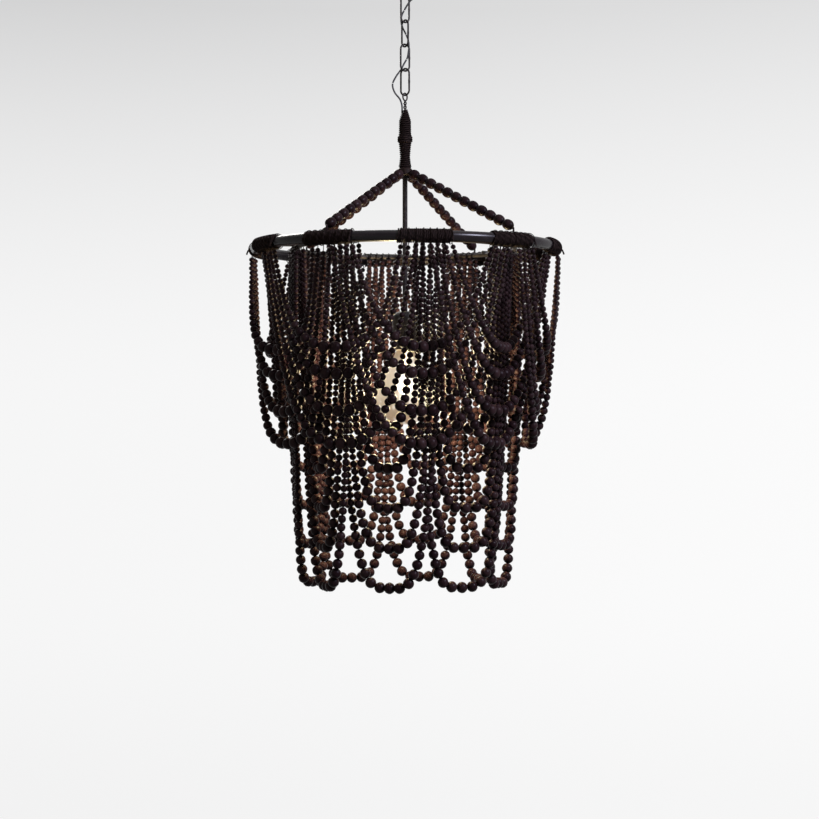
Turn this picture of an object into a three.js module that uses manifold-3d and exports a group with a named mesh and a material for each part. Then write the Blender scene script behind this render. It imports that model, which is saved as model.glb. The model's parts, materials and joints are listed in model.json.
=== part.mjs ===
// Beaded chandelier: a two-tier hanging lamp of wooden beads, hung from the ceiling on a short chain.
// Millimetres, +Z up. The origin is on the ceiling, on the line that the lamp hangs on.
// An azimuth is in degrees, zero at the front (-Y) and growing to the right (+X).
import * as THREE from "three";
import { mergeVertices } from "three/addons/utils/BufferGeometryUtils.js";
import Module from "manifold-3d";

const wasm = await Module();
wasm.setup();

// Shared values
const clearance = 0.3; // between pieces that touch
const overrun = 2; // how far a cut runs past its piece
const fullTurn = 2 * Math.PI;

// Ceiling fittings
const crossbar = { length: 96, width: 18, thickness: 2.5, slot: 5, slotInset: 12 };
const barBoss = { radius: 9, depth: 6.5 };
const stud = { radius: 5, length: 27, bore: 3.5 };
const terminal = { length: 20, width: 12, height: 9, place: 26 };
const canopy = { radius: 60, lip: 0.5, depth: 30, wall: 1.2, flat: 32, hole: 12.7 };
const bush = { bore: 1.9, body: 2.7, flange: 4.2, flangeThickness: 1.5 };
const collarNut = { outer: 18, thickness: 5 };
const loopBody = { radius: 12, top: 21, bottom: 38, neck: 4 };
const loop = { wire: 3.2, radius: 9, bottom: 61.5, turn: -53 };

// Chain, hook and flex
const link = { wire: 2.8, width: 18, pitch: 36.6 };
const linkTurns = [37, -52, 32, -35];
const hook = { wire: 2.4, eye: 5.5, twist: 1.5, lay: 12, legs: 20, inCore: 10, turn: 55 };
const flexRadius = 1.3;

// Stem and hub
const stem = { top: 4.4, shoulder: 5.6, knot: 7.4, waist: 4.6, foot: 9, length: 81 };
const stemCord = { radius: 1.9, wideShare: 1.45, turnCount: 12, margin: 3 };
const hub = { radius: 10.5, thickness: 12 };
const hubNut = { radius: 7, thickness: 4 };
const downTube = { radius: 3.75, length: 233, inCore: 10 };

// Hoop, wraps, inner ring and arms
const hoop = { radius: 224, tube: 8, drop: 122 };
const wrap = { count: 10, firstAngle: -29, coverAngle: 19.5, turnCount: 8, height: 1.2, wideShare: 4.2 };
const innerRing = { space: 9, rod: 3, strutCount: 5, strutRod: 2.5, firstAngle: -11 };
const arm = { wire: 1.6, beadCount: 12, beadRadius: 8, waist: 3, hubGap: 1.6, past: 1.4, rise: 17.5, start: 7 };
const rowStart = hub.radius + arm.hubGap;
const rowEnd = hoop.radius + arm.past;
const armPlaces = { arm_front_left: 0, arm_front_right: 2, arm_rear_right: 5, arm_rear_left: 7 };

// Swags: each row hangs between two ends, halfAngle either side of the middle of its set
const thread = 1;
const beads = { small: 4 };
const upper = {
  setCount: 10,
  firstAngle: 7,
  radius: hoop.radius,
  offset: -7,
  outward: 5,
  largeBead: 9,
  largeShare: 0.3,
  drop: 292,
  bow: -14,
  roundPower: 2.6,
  stopShares: [0.25, 0.5, 0.75],
  halfAngles: [27.0, 29.6, 32.2, 34.8],
  dropShares: [0.53, 0.66, 0.84, 1],
  bowShares: [1, 0.71, 0.43, 0.71],
};

// The inner ring stands inside the lowest beads of the longest upper strand
const ringRadius =
  hoop.radius * Math.cos((Math.max(...upper.halfAngles) * Math.PI) / 180) - upper.largeBead - innerRing.space;
const lower = {
  setCount: 8,
  firstAngle: -9,
  radius: ringRadius,
  offset: 6,
  outward: -4,
  largeBead: 8.5,
  largeShare: 0.41,
  drop: 500,
  bow: 6,
  roundPower: 4,
  stopShares: [0.42, 0.68, 0.88],
  halfAngles: [15.0, 18.8, 22.4, 26.0, 29.5],
  dropShares: [0.54, 0.656, 0.77, 0.886, 1],
  bowShares: [1, 1, 1, 1, 1],
};

// Lampholder and bulb
const holder = { outer: 19, wall: 2.3, capHeight: 22, skirtHeight: 36, boss: 7 };
const insulator = { sleeve: 2.6, top: 4, disc: 5 };
const bulb = { radius: 47.5, wall: 1, length: 138, neck: 15, neckLength: 8, flankAngle: 152 };
const bulbCap = { radius: 13.2, length: 24, tip: 3.5 };

// How finely round shapes are divided
const fine = {
  lathe: 18,
  small: 10,
  wireSides: 6,
  beadSides: 5,
  bend: 6,
  turnSteps: 8,
  hoopSteps: 48,
  woundSides: 3,
  strandSides: 4,
};

// Levels, from the ceiling down
const wireStep = link.wire + 2 * clearance;
const linkLength = link.pitch + wireStep;
const linkTops = [-loop.bottom + (loop.wire + link.wire) / 2 + clearance];
while (linkTops.length < linkTurns.length) linkTops.push(linkTops[linkTops.length - 1] - link.pitch);
const chainEnd = linkTops[linkTops.length - 1] - linkLength;
const eyeCentre = chainEnd + (link.wire + hook.wire) / 2 + clearance - hook.eye;
const stemTop = eyeCentre - hook.eye - hook.legs;
const stemFoot = stemTop - stem.length;
const hubTop = stemFoot - clearance;
const hubMiddle = hubTop - hub.thickness / 2;
const hubBottom = hubTop - hub.thickness;
const hoopLevel = stemFoot - hoop.drop;
const tubeTop = stemFoot + downTube.inCore;
const tubeBottom = tubeTop - downTube.length;
const holderTop = tubeBottom + holder.boss;
const skirtTop = holderTop - holder.capHeight - clearance;
const skirtBottom = skirtTop - holder.skirtHeight;
const discTop = skirtTop - insulator.top;
const bulbCapTop = discTop - insulator.disc - clearance;
const bulbTop = bulbCapTop - bulbCap.length;

const material = (color, roughness, metalness = 0) =>
  new THREE.MeshStandardMaterial({ color, roughness, metalness });
const blackIron = material("#1b1a1a", 0.5, 0.7);
const zincSteel = material("#a7a9aa", 0.4, 0.9);
const glossTube = material("#2a2629", 0.2, 0.3);
const cordFibre = material("#2b211d", 0.95);
const beadWood = material("#2c1c16", 0.4);
const blackFlex = material("#111111", 0.6);
const turnedWood = material("#2a1d18", 0.6);
const blackPlastic = material("#151414", 0.45);
const nickel = material("#b9b6ae", 0.3, 0.95);
const frostedGlass = material("#fff1d6", 0.35);

const chandelier = new THREE.Group();

function add(name, geometry, surface) {
  const mesh = new THREE.Mesh(geometry, surface);
  mesh.name = name;
  chandelier.add(mesh);
}

const radians = THREE.MathUtils.degToRad;

// A level direction at an azimuth, outwards from the axis, and the level direction to the right of it
const outwards = (azimuth) => new THREE.Vector3(Math.sin(radians(azimuth)), -Math.cos(radians(azimuth)), 0);
const rightwards = (azimuth) => new THREE.Vector3(Math.cos(radians(azimuth)), Math.sin(radians(azimuth)), 0);

function around(radius, azimuth, z) {
  return outwards(azimuth).multiplyScalar(radius).setZ(z);
}

function solidOf(geometry) {
  const bare = geometry.clone();
  bare.deleteAttribute("normal");
  bare.deleteAttribute("uv");
  const merged = mergeVertices(bare);
  const vertProperties = Float32Array.from(merged.attributes.position.array);
  const triVerts = Uint32Array.from(merged.index.array);
  return new wasm.Manifold(new wasm.Mesh({ numProp: 3, vertProperties, triVerts }));
}

function geometryOf(solid) {
  const mesh = solid.getMesh();
  const geometry = new THREE.BufferGeometry();
  geometry.setAttribute("position", new THREE.BufferAttribute(mesh.vertProperties, 3));
  geometry.setIndex(new THREE.BufferAttribute(mesh.triVerts, 1));
  return geometry;
}

const join = (...shapes) => geometryOf(shapes.map(solidOf).reduce((sum, next) => sum.add(next)));
const cut = (shape, ...tools) =>
  geometryOf(tools.map(solidOf).reduce((rest, next) => rest.subtract(next), solidOf(shape)));

// A closed profile of [radius, z] pairs, listed from its foot outwards and up, turned about the axis
function turned(profile, segments = fine.lathe) {
  const points = profile.map(([radius, z]) => new THREE.Vector2(radius, z));
  const closed = profile[0][0] > 0 ? [...points, points[0].clone()] : points;
  return new THREE.LatheGeometry(closed, segments).rotateX(Math.PI / 2);
}

function rod(radius, top, bottom, segments = fine.small) {
  return new THREE.CylinderGeometry(radius, radius, top - bottom, segments)
    .rotateX(Math.PI / 2)
    .translate(0, 0, (top + bottom) / 2);
}

function pipe(outer, inner, top, bottom, segments = fine.lathe) {
  return turned([[inner, bottom], [outer, bottom], [outer, top], [inner, top]], segments);
}

function box(length, width, height, x, y, z) {
  return new THREE.BoxGeometry(length, width, height).translate(x, y, z);
}

// The direction of the path at each stop, between the directions of the runs on its two sides
function headings(stops, closed) {
  const count = stops.length;
  const runs = stops.map((stop, i) => stops[(i + 1) % count].at.clone().sub(stop.at).normalize());
  return stops.map((stop, i) => {
    if (!closed && i === 0) return runs[0].clone();
    if (!closed && i === count - 1) return runs[count - 2].clone();
    return runs[(i - 1 + count) % count].clone().add(runs[i]).normalize();
  });
}

// The corners of the section at one stop; side turns the section, wideShare stretches it across side
function section({ at, radius, side, wideShare = 1 }, heading, sides) {
  const first = side.clone().addScaledVector(heading, -heading.dot(side)).normalize();
  const second = heading.clone().cross(first);
  return Array.from({ length: sides }, (_, k) => {
    const turn = (k * fullTurn) / sides;
    return at
      .clone()
      .addScaledVector(first, radius * Math.cos(turn))
      .addScaledVector(second, radius * wideShare * Math.sin(turn));
  });
}

// One unbroken tube through its stops, with flat ends unless the path closes on itself
function tube(stops, sides, closed = false) {
  const rings = headings(stops, closed).map((heading, i) => section(stops[i], heading, sides));
  const index = [];
  const runs = closed ? rings.length : rings.length - 1;
  for (let i = 0; i < runs; i++) {
    const next = (i + 1) % rings.length;
    for (let k = 0; k < sides; k++) {
      const turn = (k + 1) % sides;
      const [a, b, c, d] = [i * sides + k, i * sides + turn, next * sides + turn, next * sides + k];
      index.push(a, b, c, a, c, d);
    }
  }
  const last = (rings.length - 1) * sides;
  for (let k = 1; !closed && k < sides - 1; k++) {
    index.push(0, k + 1, k, last, last + k, last + k + 1);
  }
  const geometry = new THREE.BufferGeometry();
  const corners = rings.flat().flatMap((corner) => corner.toArray());
  geometry.setAttribute("position", new THREE.Float32BufferAttribute(corners, 3));
  geometry.setIndex(index);
  return geometry;
}

// The least distance between a winding's own neighbouring turns, measured on the corners of its sections
function leastGap(stops, sides, perTurn) {
  const rings = headings(stops, false).map((heading, i) => section(stops[i], heading, sides));
  let least = Infinity;
  for (let i = 0; i + perTurn + 1 < rings.length; i++) {
    for (let j = i + perTurn - 1; j <= i + perTurn + 1; j++) {
      for (const p of rings[i]) for (const q of rings[j]) least = Math.min(least, p.distanceTo(q));
    }
  }
  return least;
}

// Crossbar on the ceiling, with a boss for the stud and a slot for a fixing screw near each end
function makeCrossbar() {
  const { length, width, thickness, slot, slotInset } = crossbar;
  const bossBottom = -thickness - barBoss.depth;
  const slotPlace = length / 2 - slotInset;
  const plate = box(length, width, thickness, 0, 0, -thickness / 2);
  const boss = rod(barBoss.radius, -thickness / 2, bossBottom, fine.lathe);
  const bore = rod(stud.radius + clearance, -thickness, bossBottom - overrun, fine.lathe);
  const slotAt = (x) => box(2 * slot, slot, thickness + overrun, x, 0, -thickness / 2);
  const slots = [slotAt(-slotPlace), slotAt(slotPlace)];
  add("crossbar", cut(join(plate, boss), bore, ...slots), zincSteel);
}

function makeStud() {
  const top = -crossbar.thickness - clearance;
  add("canopy_stud", pipe(stud.radius, stud.bore, top, top - stud.length), zincSteel);
}

function makeTerminal() {
  const { length, width, height, place } = terminal;
  const middle = -crossbar.thickness - clearance - height / 2;
  add("terminal_block", box(length, width, height, place, 0, middle), blackPlastic);
}

// The canopy: a dome of sheet whose flat crown, at the bottom, has the collar's hole and the flex's hole
function makeCanopy() {
  const { radius, lip, depth, wall, flat, hole } = canopy;
  const steps = 3;
  const curve = (grow) =>
    Array.from({ length: steps + 1 }, (_, i) => {
      const turn = (i / steps) * (Math.PI / 2);
      const reach = radius - flat - grow;
      return [flat + reach * Math.sin(turn), -depth + grow + (depth - lip - grow) * (1 - Math.cos(turn))];
    });
  const profile = [[hole, -depth], ...curve(0), ...curve(wall).reverse(), [hole, -depth + wall]];
  const flexHole = rod(bush.body + clearance, overrun - depth, -depth - overrun);
  add("canopy", cut(turned(profile, fine.lathe), flexHole.translate(terminal.place, 0, 0)), blackIron);
}

// A spool-shaped bush that keeps the flex off the edge of the canopy's hole
function makeBush() {
  const { bore, body, flange, flangeThickness } = bush;
  const inside = -canopy.depth + canopy.wall + clearance;
  const outside = -canopy.depth - clearance;
  const profile = [
    [bore, outside - flangeThickness],
    [flange, outside - flangeThickness],
    [flange, outside],
    [body, outside],
    [body, inside],
    [flange, inside],
    [flange, inside + flangeThickness],
    [bore, inside + flangeThickness],
  ];
  add("flex_bush", turned(profile, fine.small).translate(terminal.place, 0, 0), blackPlastic);
}

function makeCollarNut() {
  const top = -canopy.depth - clearance;
  const nut = pipe(collarNut.outer, loopBody.radius + clearance, top, top - collarNut.thickness);
  add("collar_nut", nut, blackIron);
}

// The loop: a collar screwed on the stud, with a ring of wire under it that carries the chain
function makeLoop() {
  const { wire, radius, bottom, turn } = loop;
  const collar = rod(loopBody.radius, -loopBody.top, -loopBody.bottom, fine.lathe);
  const studEnd = -crossbar.thickness - clearance - stud.length;
  const bore = rod(stud.radius + clearance, overrun - loopBody.top, studEnd - clearance, fine.lathe);
  const ringCentre = radius - bottom;
  const neckRod = rod(loopBody.neck, overrun - loopBody.bottom, ringCentre + radius);
  const ring = new THREE.TorusGeometry(radius, wire / 2, fine.wireSides, 2 * fine.turnSteps)
    .rotateX(Math.PI / 2)
    .rotateZ(radians(turn))
    .translate(0, 0, ringCentre);
  add("canopy_loop", cut(join(collar, neckRod, ring), bore), blackIron);
}

// One link: two straight sides and two half-round ends in an upright plane
function linkStops(top, turn) {
  const bend = (link.width - link.wire) / 2;
  const across = rightwards(turn);
  const side = outwards(turn);
  const ends = [
    { centre: top - bend, start: 0 },
    { centre: top - linkLength + bend, start: Math.PI },
  ];
  return ends.flatMap(({ centre, start }) =>
    Array.from({ length: fine.bend + 1 }, (_, i) => {
      const angle = start + (i / fine.bend) * Math.PI;
      const at = across.clone().multiplyScalar(bend * Math.cos(angle)).setZ(centre + bend * Math.sin(angle));
      return { at, radius: link.wire / 2, side };
    }),
  );
}

function makeChain() {
  linkTurns.forEach((turn, i) => {
    add(`chain_link_${i + 1}`, tube(linkStops(linkTops[i], turn), fine.wireSides, true), blackIron);
  });
}

// The hook: one wire, bent to an eye, whose two legs are twisted together and end in the stem
function hookStops() {
  const { wire, eye, twist, lay, legs, inCore, turn } = hook;
  const across = rightwards(turn);
  const open = Math.asin(twist / eye);
  const legTop = eyeCentre - eye * Math.cos(open);
  const length = legTop - (stemTop - inCore);
  const steps = Math.round((length / lay) * fine.wireSides);
  const leg = (start) =>
    Array.from({ length: steps }, (_, i) => {
      const share = 1 - i / steps;
      const angle = start + share * (length / lay) * fullTurn;
      const side = across.clone().applyAxisAngle(new THREE.Vector3(0, 0, 1), angle);
      return { at: side.clone().multiplyScalar(twist).setZ(legTop - share * length), radius: wire / 2, side };
    });
  const eyeSteps = 2 * fine.bend;
  const ring = Array.from({ length: eyeSteps + 1 }, (_, i) => {
    const angle = open + (i / eyeSteps) * (fullTurn - 2 * open);
    const side = across.clone().multiplyScalar(Math.sin(angle)).setZ(-Math.cos(angle));
    const at = side.clone().multiplyScalar(eye).add(new THREE.Vector3(0, 0, eyeCentre));
    return { at, radius: wire / 2, side };
  });
  return [...leg(0), ...ring, ...leg(Math.PI).reverse()];
}

function makeHook() {
  add("stem_hook", tube(hookStops(), fine.wireSides - 1), blackIron);
}

// The flex's route, from the terminal block down through the bush and the links to the stem
const flexRoute = [
  [26, 0, -12.1],
  [26, 0, -30],
  [26, 0, -48],
  [19.5, -0.4, -57.5],
  [9.5, -0.9, -64.5],
  [4.6, -0.7, -70.5],
  [0, 0, -78],
  [-4.6, 0.6, -87],
  [-5.9, 0.8, -96.4],
  [-3.6, 0.5, -106],
  [0.5, -0.6, -114.6],
  [4.4, -0.8, -123.5],
  [5.9, -1, -133],
  [5.2, 0.8, -142],
  [3.4, 2.1, -151.2],
  [-1.6, 1.6, -160.5],
  [-6.3, 0.2, -169.6],
  [-13.5, -1, -180],
  [-18.7, -1.5, -192],
  [-15.5, -1.6, -204],
  [-7.8, -1.4, -214],
  [-4.6, -0.4, -224],
  [-4.5, 0, -235.5],
];

function makeFlex() {
  const route = new THREE.CatmullRomCurve3(flexRoute.map((p) => new THREE.Vector3(...p)));
  const stepLength = 6 * flexRadius;
  const steps = Math.round(route.getLength() / stepLength);
  const side = outwards(0);
  const stops = route.getSpacedPoints(steps).map((at) => ({ at, radius: flexRadius, side }));
  add("supply_flex", tube(stops, fine.turnSteps), blackFlex);
}

// Places down the stem as shares of its length, with the core's radius there
function coreProfile() {
  const { top, shoulder, knot, waist, foot } = stem;
  const shares = [0, 0.14, 0.36, 0.47, 0.6, 0.8, 0.93, 1];
  const radii = [top, shoulder, shoulder, knot, waist, waist, (waist + foot) / 2, foot];
  return shares.map((share, i) => [radii[i], stemTop - share * stem.length]);
}

function coreRadiusAt(z) {
  const profile = coreProfile();
  const below = Math.max(profile.findIndex((point) => point[1] <= z), 1);
  const [upperRadius, upperZ] = profile[below - 1];
  const [lowerRadius, lowerZ] = profile[below];
  return THREE.MathUtils.mapLinear(z, upperZ, lowerZ, upperRadius, lowerRadius);
}

function makeStem() {
  const core = turned([[0, stemFoot], ...coreProfile().reverse(), [0, stemTop]]);
  const hookReach = hook.twist + hook.wire / 2 + 2 * clearance;
  const hookBore = rod(hookReach, stemTop + overrun, stemTop - hook.inCore - hook.wire);
  const tubeBore = rod(downTube.radius + clearance, tubeTop + clearance, stemFoot - overrun, fine.lathe);
  add("stem_core", cut(core, hookBore, tubeBore), turnedWood);
}

// Stops of a cord wound round a rod: centreAt and radiusAt give the rod and the cord's distance along it
function windingStops(turnCount, centreAt, reachAt, cord) {
  const steps = turnCount * fine.turnSteps;
  return Array.from({ length: steps + 1 }, (_, i) => {
    const share = i / steps;
    const { centre, level, upright } = centreAt(share);
    const angle = (i / fine.turnSteps) * fullTurn;
    const side = level.clone().multiplyScalar(Math.cos(angle)).addScaledVector(upright, Math.sin(angle));
    return { at: centre.clone().addScaledVector(side, reachAt(share)), side, ...cord };
  });
}

// A wound cord's inner face is half as far from its middle as its crest, and its runs cut the corner
const woundReach = (coreRadius, crest) =>
  (coreRadius + clearance) / Math.cos(Math.PI / fine.turnSteps) + crest / 2;

function makeStemWrap() {
  const { radius, wideShare, turnCount, margin } = stemCord;
  const zAt = (share) => stemTop - margin - share * (stem.length - 2 * margin);
  const centreAt = (share) => ({
    centre: new THREE.Vector3(0, 0, zAt(share)),
    level: rightwards(0),
    upright: outwards(0),
  });
  const widest = (z) => Math.max(...[-1, -0.5, 0, 0.5, 1].map((share) => coreRadiusAt(z + share * margin)));
  const reachAt = (share) => woundReach(widest(zAt(share)), radius);
  const stops = windingStops(turnCount, centreAt, reachAt, { radius, wideShare });
  add("stem_wrap", tube(stops, fine.woundSides), cordFibre);
  const gap = leastGap(stops, fine.woundSides, fine.turnSteps);
  console.log("stem_wrap: least gap between turns", gap.toFixed(2), "mm");
}

// Places that the arms share, as distances from the axis and levels
const armRun = {
  inner: new THREE.Vector2(arm.start, hubMiddle),
  outer: new THREE.Vector2(rowEnd, hoopLevel + arm.rise),
};
const armSlope = armRun.outer.clone().sub(armRun.inner).normalize();

function makeHub() {
  const body = pipe(hub.radius, downTube.radius + clearance, hubTop, hubBottom);
  const sockets = Object.values(armPlaces).map((place) => {
    const socket = rod(arm.wire + 1.5 * clearance, hub.radius + overrun, -clearance);
    const direction = outwards(wrapAzimuth(place)).multiplyScalar(armSlope.x).setZ(armSlope.y);
    const turn = new THREE.Quaternion().setFromUnitVectors(new THREE.Vector3(0, 0, 1), direction);
    const at = around(armRun.inner.x, wrapAzimuth(place), armRun.inner.y);
    return socket.applyQuaternion(turn).translate(...at.toArray());
  });
  add("hub", cut(body, ...sockets), turnedWood);
  const nutTop = hubBottom - clearance;
  const nutBottom = nutTop - hubNut.thickness;
  const nut = rod(hubNut.radius, nutTop, nutBottom, 6);
  const bore = rod(downTube.radius + clearance, nutTop + overrun, nutBottom - overrun, fine.lathe);
  add("hub_nut", cut(nut, bore), blackIron);
}

const wrapAzimuth = (place) => wrap.firstAngle + (place * 360) / wrap.count;

// One arm: a wire from the hub's socket to the top of a wrap, with oval beads threaded on it
function armStops(azimuth) {
  const pitch = (rowEnd - rowStart) / arm.beadCount;
  const onLine = (distance, radius) => {
    const { inner, outer } = armRun;
    const level = THREE.MathUtils.mapLinear(distance, inner.x, outer.x, inner.y, outer.y);
    return { at: around(distance, azimuth, level), radius, side: rightwards(azimuth) };
  };
  const stops = [onLine(arm.start, arm.wire), onLine(rowStart, arm.wire)];
  const beadShares = [0.01, 0.26, 0.74];
  const radii = [arm.waist, arm.beadRadius, arm.beadRadius];
  for (let i = 0; i < arm.beadCount; i++) {
    beadShares.forEach((share, k) => stops.push(onLine(rowStart + (i + share) * pitch, radii[k])));
  }
  stops.push(onLine(rowEnd, arm.waist), onLine(rowEnd + arm.wire, arm.wire));
  const tip = stops[stops.length - 1].at.clone().setZ(hoopLevel + wrapReach - wrap.height / 2);
  return [...stops, { at: tip, radius: arm.wire, side: rightwards(azimuth) }];
}

function makeArms() {
  for (const [name, place] of Object.entries(armPlaces)) {
    add(name, tube(armStops(wrapAzimuth(place)), fine.beadSides), beadWood);
  }
}

function ringOf(radius, tubeRadius, sides, steps, z) {
  return new THREE.TorusGeometry(radius, tubeRadius, sides, steps).translate(0, 0, z);
}

// The hoop and the cords wound round it where the strands and the arms are tied
const hoopSag = hoop.radius * (1 - Math.cos(Math.PI / fine.hoopSteps));
const wrapCentre = woundReach(hoop.tube + hoopSag, wrap.height);
const wrapReach = wrapCentre + wrap.height;

function makeHoop() {
  add("hoop", ringOf(hoop.radius, hoop.tube, fine.turnSteps, fine.hoopSteps, hoopLevel), glossTube);
  let least = Infinity;
  for (let i = 0; i < wrap.count; i++) {
    const centreAt = (share) => {
      const azimuth = wrapAzimuth(i) + (share - 0.5) * wrap.coverAngle;
      return {
        centre: around(hoop.radius, azimuth, hoopLevel),
        level: outwards(azimuth),
        upright: new THREE.Vector3(0, 0, -1),
      };
    };
    const cord = { radius: wrap.height, wideShare: wrap.wideShare };
    const stops = windingStops(wrap.turnCount, centreAt, () => wrapCentre, cord);
    add(`hoop_wrap_${i + 1}`, tube(stops, fine.woundSides), cordFibre);
    least = Math.min(least, leastGap(stops, fine.woundSides, fine.turnSteps));
  }
  console.log("hoop_wrap: least gap between turns", least.toFixed(2), "mm");
}

// The inner ring, with the struts that are welded on top of it and reach the hoop
function makeInnerRing() {
  const { rod: rodRadius, strutCount, strutRod, firstAngle } = innerRing;
  const strutLevel = hoopLevel + rodRadius + strutRod / 2;
  const reach = hoop.radius - hoop.tube - clearance;
  const length = reach - ringRadius;
  const shapes = Array.from({ length: strutCount }, (_, i) => {
    const azimuth = firstAngle + (i * 360) / strutCount;
    return new THREE.CylinderGeometry(strutRod, strutRod, length, fine.wireSides)
      .translate(0, -ringRadius - length / 2, strutLevel)
      .rotateZ(radians(azimuth));
  });
  const ring = ringOf(ringRadius, rodRadius, fine.beadSides, fine.hoopSteps, hoopLevel);
  add("inner_ring", join(ring, ...shapes), blackIron);
}

// One strand's stops from its left end to its right end. A lower right half passes outside the next set's
// left half, an upper one inside: the ends are offset across the strand's plane, and a bow carries each
// half past the crossings. Its beads are too large to bend sharply at the foot, so the sides hang straighter
// and the foot is rounder than a bare thread's: the height grows as a power of the distance from the middle.
function strandStops(tier, row, azimuth, endLevel) {
  const span = tier.radius * Math.sin(radians(row.halfAngle));
  const plane = tier.radius * Math.cos(radians(row.halfAngle));
  const depth = row.drop - (hoopLevel - endLevel);
  const heightShare = (u) => Math.abs(u) ** tier.roundPower;
  const place = (u) => {
    const z = endLevel - depth * (1 - heightShare(u));
    const out =
      plane + tier.offset * u + row.bow * Math.sin(Math.PI * u) + tier.outward * Math.cos((Math.PI * u) / 2);
    return outwards(azimuth).multiplyScalar(out).addScaledVector(rightwards(azimuth), u * span).setZ(z);
  };
  const beadAt = (u) => {
    const share = Math.max(1 - heightShare(u) / tier.largeShare, 0);
    return THREE.MathUtils.lerp(beads.small, tier.largeBead, share);
  };
  const side = outwards(azimuth);
  const right = tier.stopShares;
  const left = right.map((share) => -share).reverse();
  const hang = [...left, 0, ...right].map((u) => ({ at: place(u), radius: beadAt(u), side }));
  const firstBead = beads.small + 2 * thread;
  const end = (sign) => {
    const tip = place(sign);
    const run = place(sign * right[right.length - 1]).sub(tip).normalize();
    const at = tip.clone().addScaledVector(run, firstBead);
    return [{ at: tip, radius: thread, side }, { at, radius: beads.small, side }];
  };
  return [...end(-1), ...hang, ...end(1).reverse()];
}

// The strands of one set, the shortest first
const rowsOf = (tier) =>
  tier.halfAngles.map((halfAngle, i) => ({
    halfAngle,
    drop: tier.drop * tier.dropShares[i],
    bow: tier.bow * tier.bowShares[i],
  }));

// One set is a single string: it swings across, runs along its wrap or ring, and swings back, row by row
function setGeometry(tier, azimuth, endLevel) {
  const stops = rowsOf(tier).flatMap((row, i) => {
    const strand = strandStops(tier, row, azimuth, endLevel);
    return i % 2 ? strand.reverse() : strand;
  });
  return tube(stops, fine.strandSides);
}

function makeSwags() {
  const underWrap = hoopLevel - Math.sqrt(wrapReach ** 2 - upper.offset ** 2) - thread;
  const tiers = [
    ["upper_swags", upper, underWrap],
    ["lower_swags", lower, hoopLevel],
  ];
  for (const [name, tier, endLevel] of tiers) {
    for (let i = 0; i < tier.setCount; i++) {
      const azimuth = tier.firstAngle + (i * 360) / tier.setCount;
      add(`${name}_${i + 1}`, setGeometry(tier, azimuth, endLevel), beadWood);
    }
  }
}

function makeLampholder() {
  add("down_tube", pipe(downTube.radius, downTube.radius / 2, tubeTop, tubeBottom), blackIron);
  const { outer, wall, capHeight, boss } = holder;
  const { sleeve, disc } = insulator;
  const inner = outer - wall;
  const capBottom = holderTop - capHeight;
  const tubeHole = downTube.radius + clearance;
  const cap = [
    [inner, capBottom],
    [outer, capBottom],
    [outer, capBottom + capHeight / 2],
    [boss, holderTop],
    [tubeHole, holderTop],
    [tubeHole, holderTop - wall],
    [inner, capBottom + capHeight / 2 - wall],
  ];
  add("lampholder_cap", turned(cap), blackPlastic);
  add("lampholder_skirt", pipe(outer, inner, skirtTop, skirtBottom), blackPlastic);
  const insertRadius = inner - clearance;
  const insert = [
    [0, discTop - disc],
    [insertRadius - sleeve, discTop - disc],
    [insertRadius - sleeve, skirtBottom + wall],
    [insertRadius, skirtBottom + wall],
    [insertRadius, discTop],
    [0, discTop],
  ];
  add("lampholder_insert", turned(insert), blackPlastic);
}

// The bulb's glass: an open shell round a ball that narrows along a straight flank to the neck in the cap
function makeBulb() {
  const { radius, wall, length, neck, neckLength } = bulb;
  const centre = bulbCapTop - length + radius;
  const steps = 7;
  const ball = (reach) =>
    Array.from({ length: steps + 1 }, (_, i) => {
      const turn = (i / steps) * radians(bulb.flankAngle);
      return [reach * Math.sin(turn), centre - reach * Math.cos(turn)];
    });
  const glassTop = bulbTop - clearance;
  const neckFoot = glassTop - neckLength;
  const mouth = bulbCap.radius - clearance;
  const glass = [
    ...ball(radius),
    [neck, neckFoot],
    [mouth, glassTop],
    [mouth - wall, glassTop],
    [neck - wall, neckFoot],
    ...ball(radius - wall).reverse(),
  ];
  add("bulb_glass", turned(glass), frostedGlass);
  const cap = [
    [0, bulbTop],
    [bulbCap.radius, bulbTop],
    [bulbCap.radius, bulbCapTop - bulbCap.tip],
    [bulbCap.tip, bulbCapTop],
    [0, bulbCapTop],
  ];
  add("bulb_cap", turned(cap), nickel);
}

makeCrossbar();
makeStud();
makeTerminal();
makeCanopy();
makeBush();
makeCollarNut();
makeLoop();
makeChain();
makeFlex();
makeHook();
makeStem();
makeStemWrap();
makeHub();
makeArms();
makeHoop();
makeInnerRing();
makeSwags();
makeLampholder();
makeBulb();

export default chandelier;
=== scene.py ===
"""A beaded chandelier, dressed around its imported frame.

Swags of dark wooden beads hang from a corded hoop and from a ring inside it, four beaded arms carry
the hoop, and a short chain carries the arms. Everything is in metres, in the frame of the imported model.
An azimuth is in degrees, zero at the front (-Y) and growing to the right (+X).
"""

from __future__ import annotations

import json
import logging
import math
from dataclasses import dataclass, field
from enum import Enum
from typing import Any, Callable, Sequence

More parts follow.
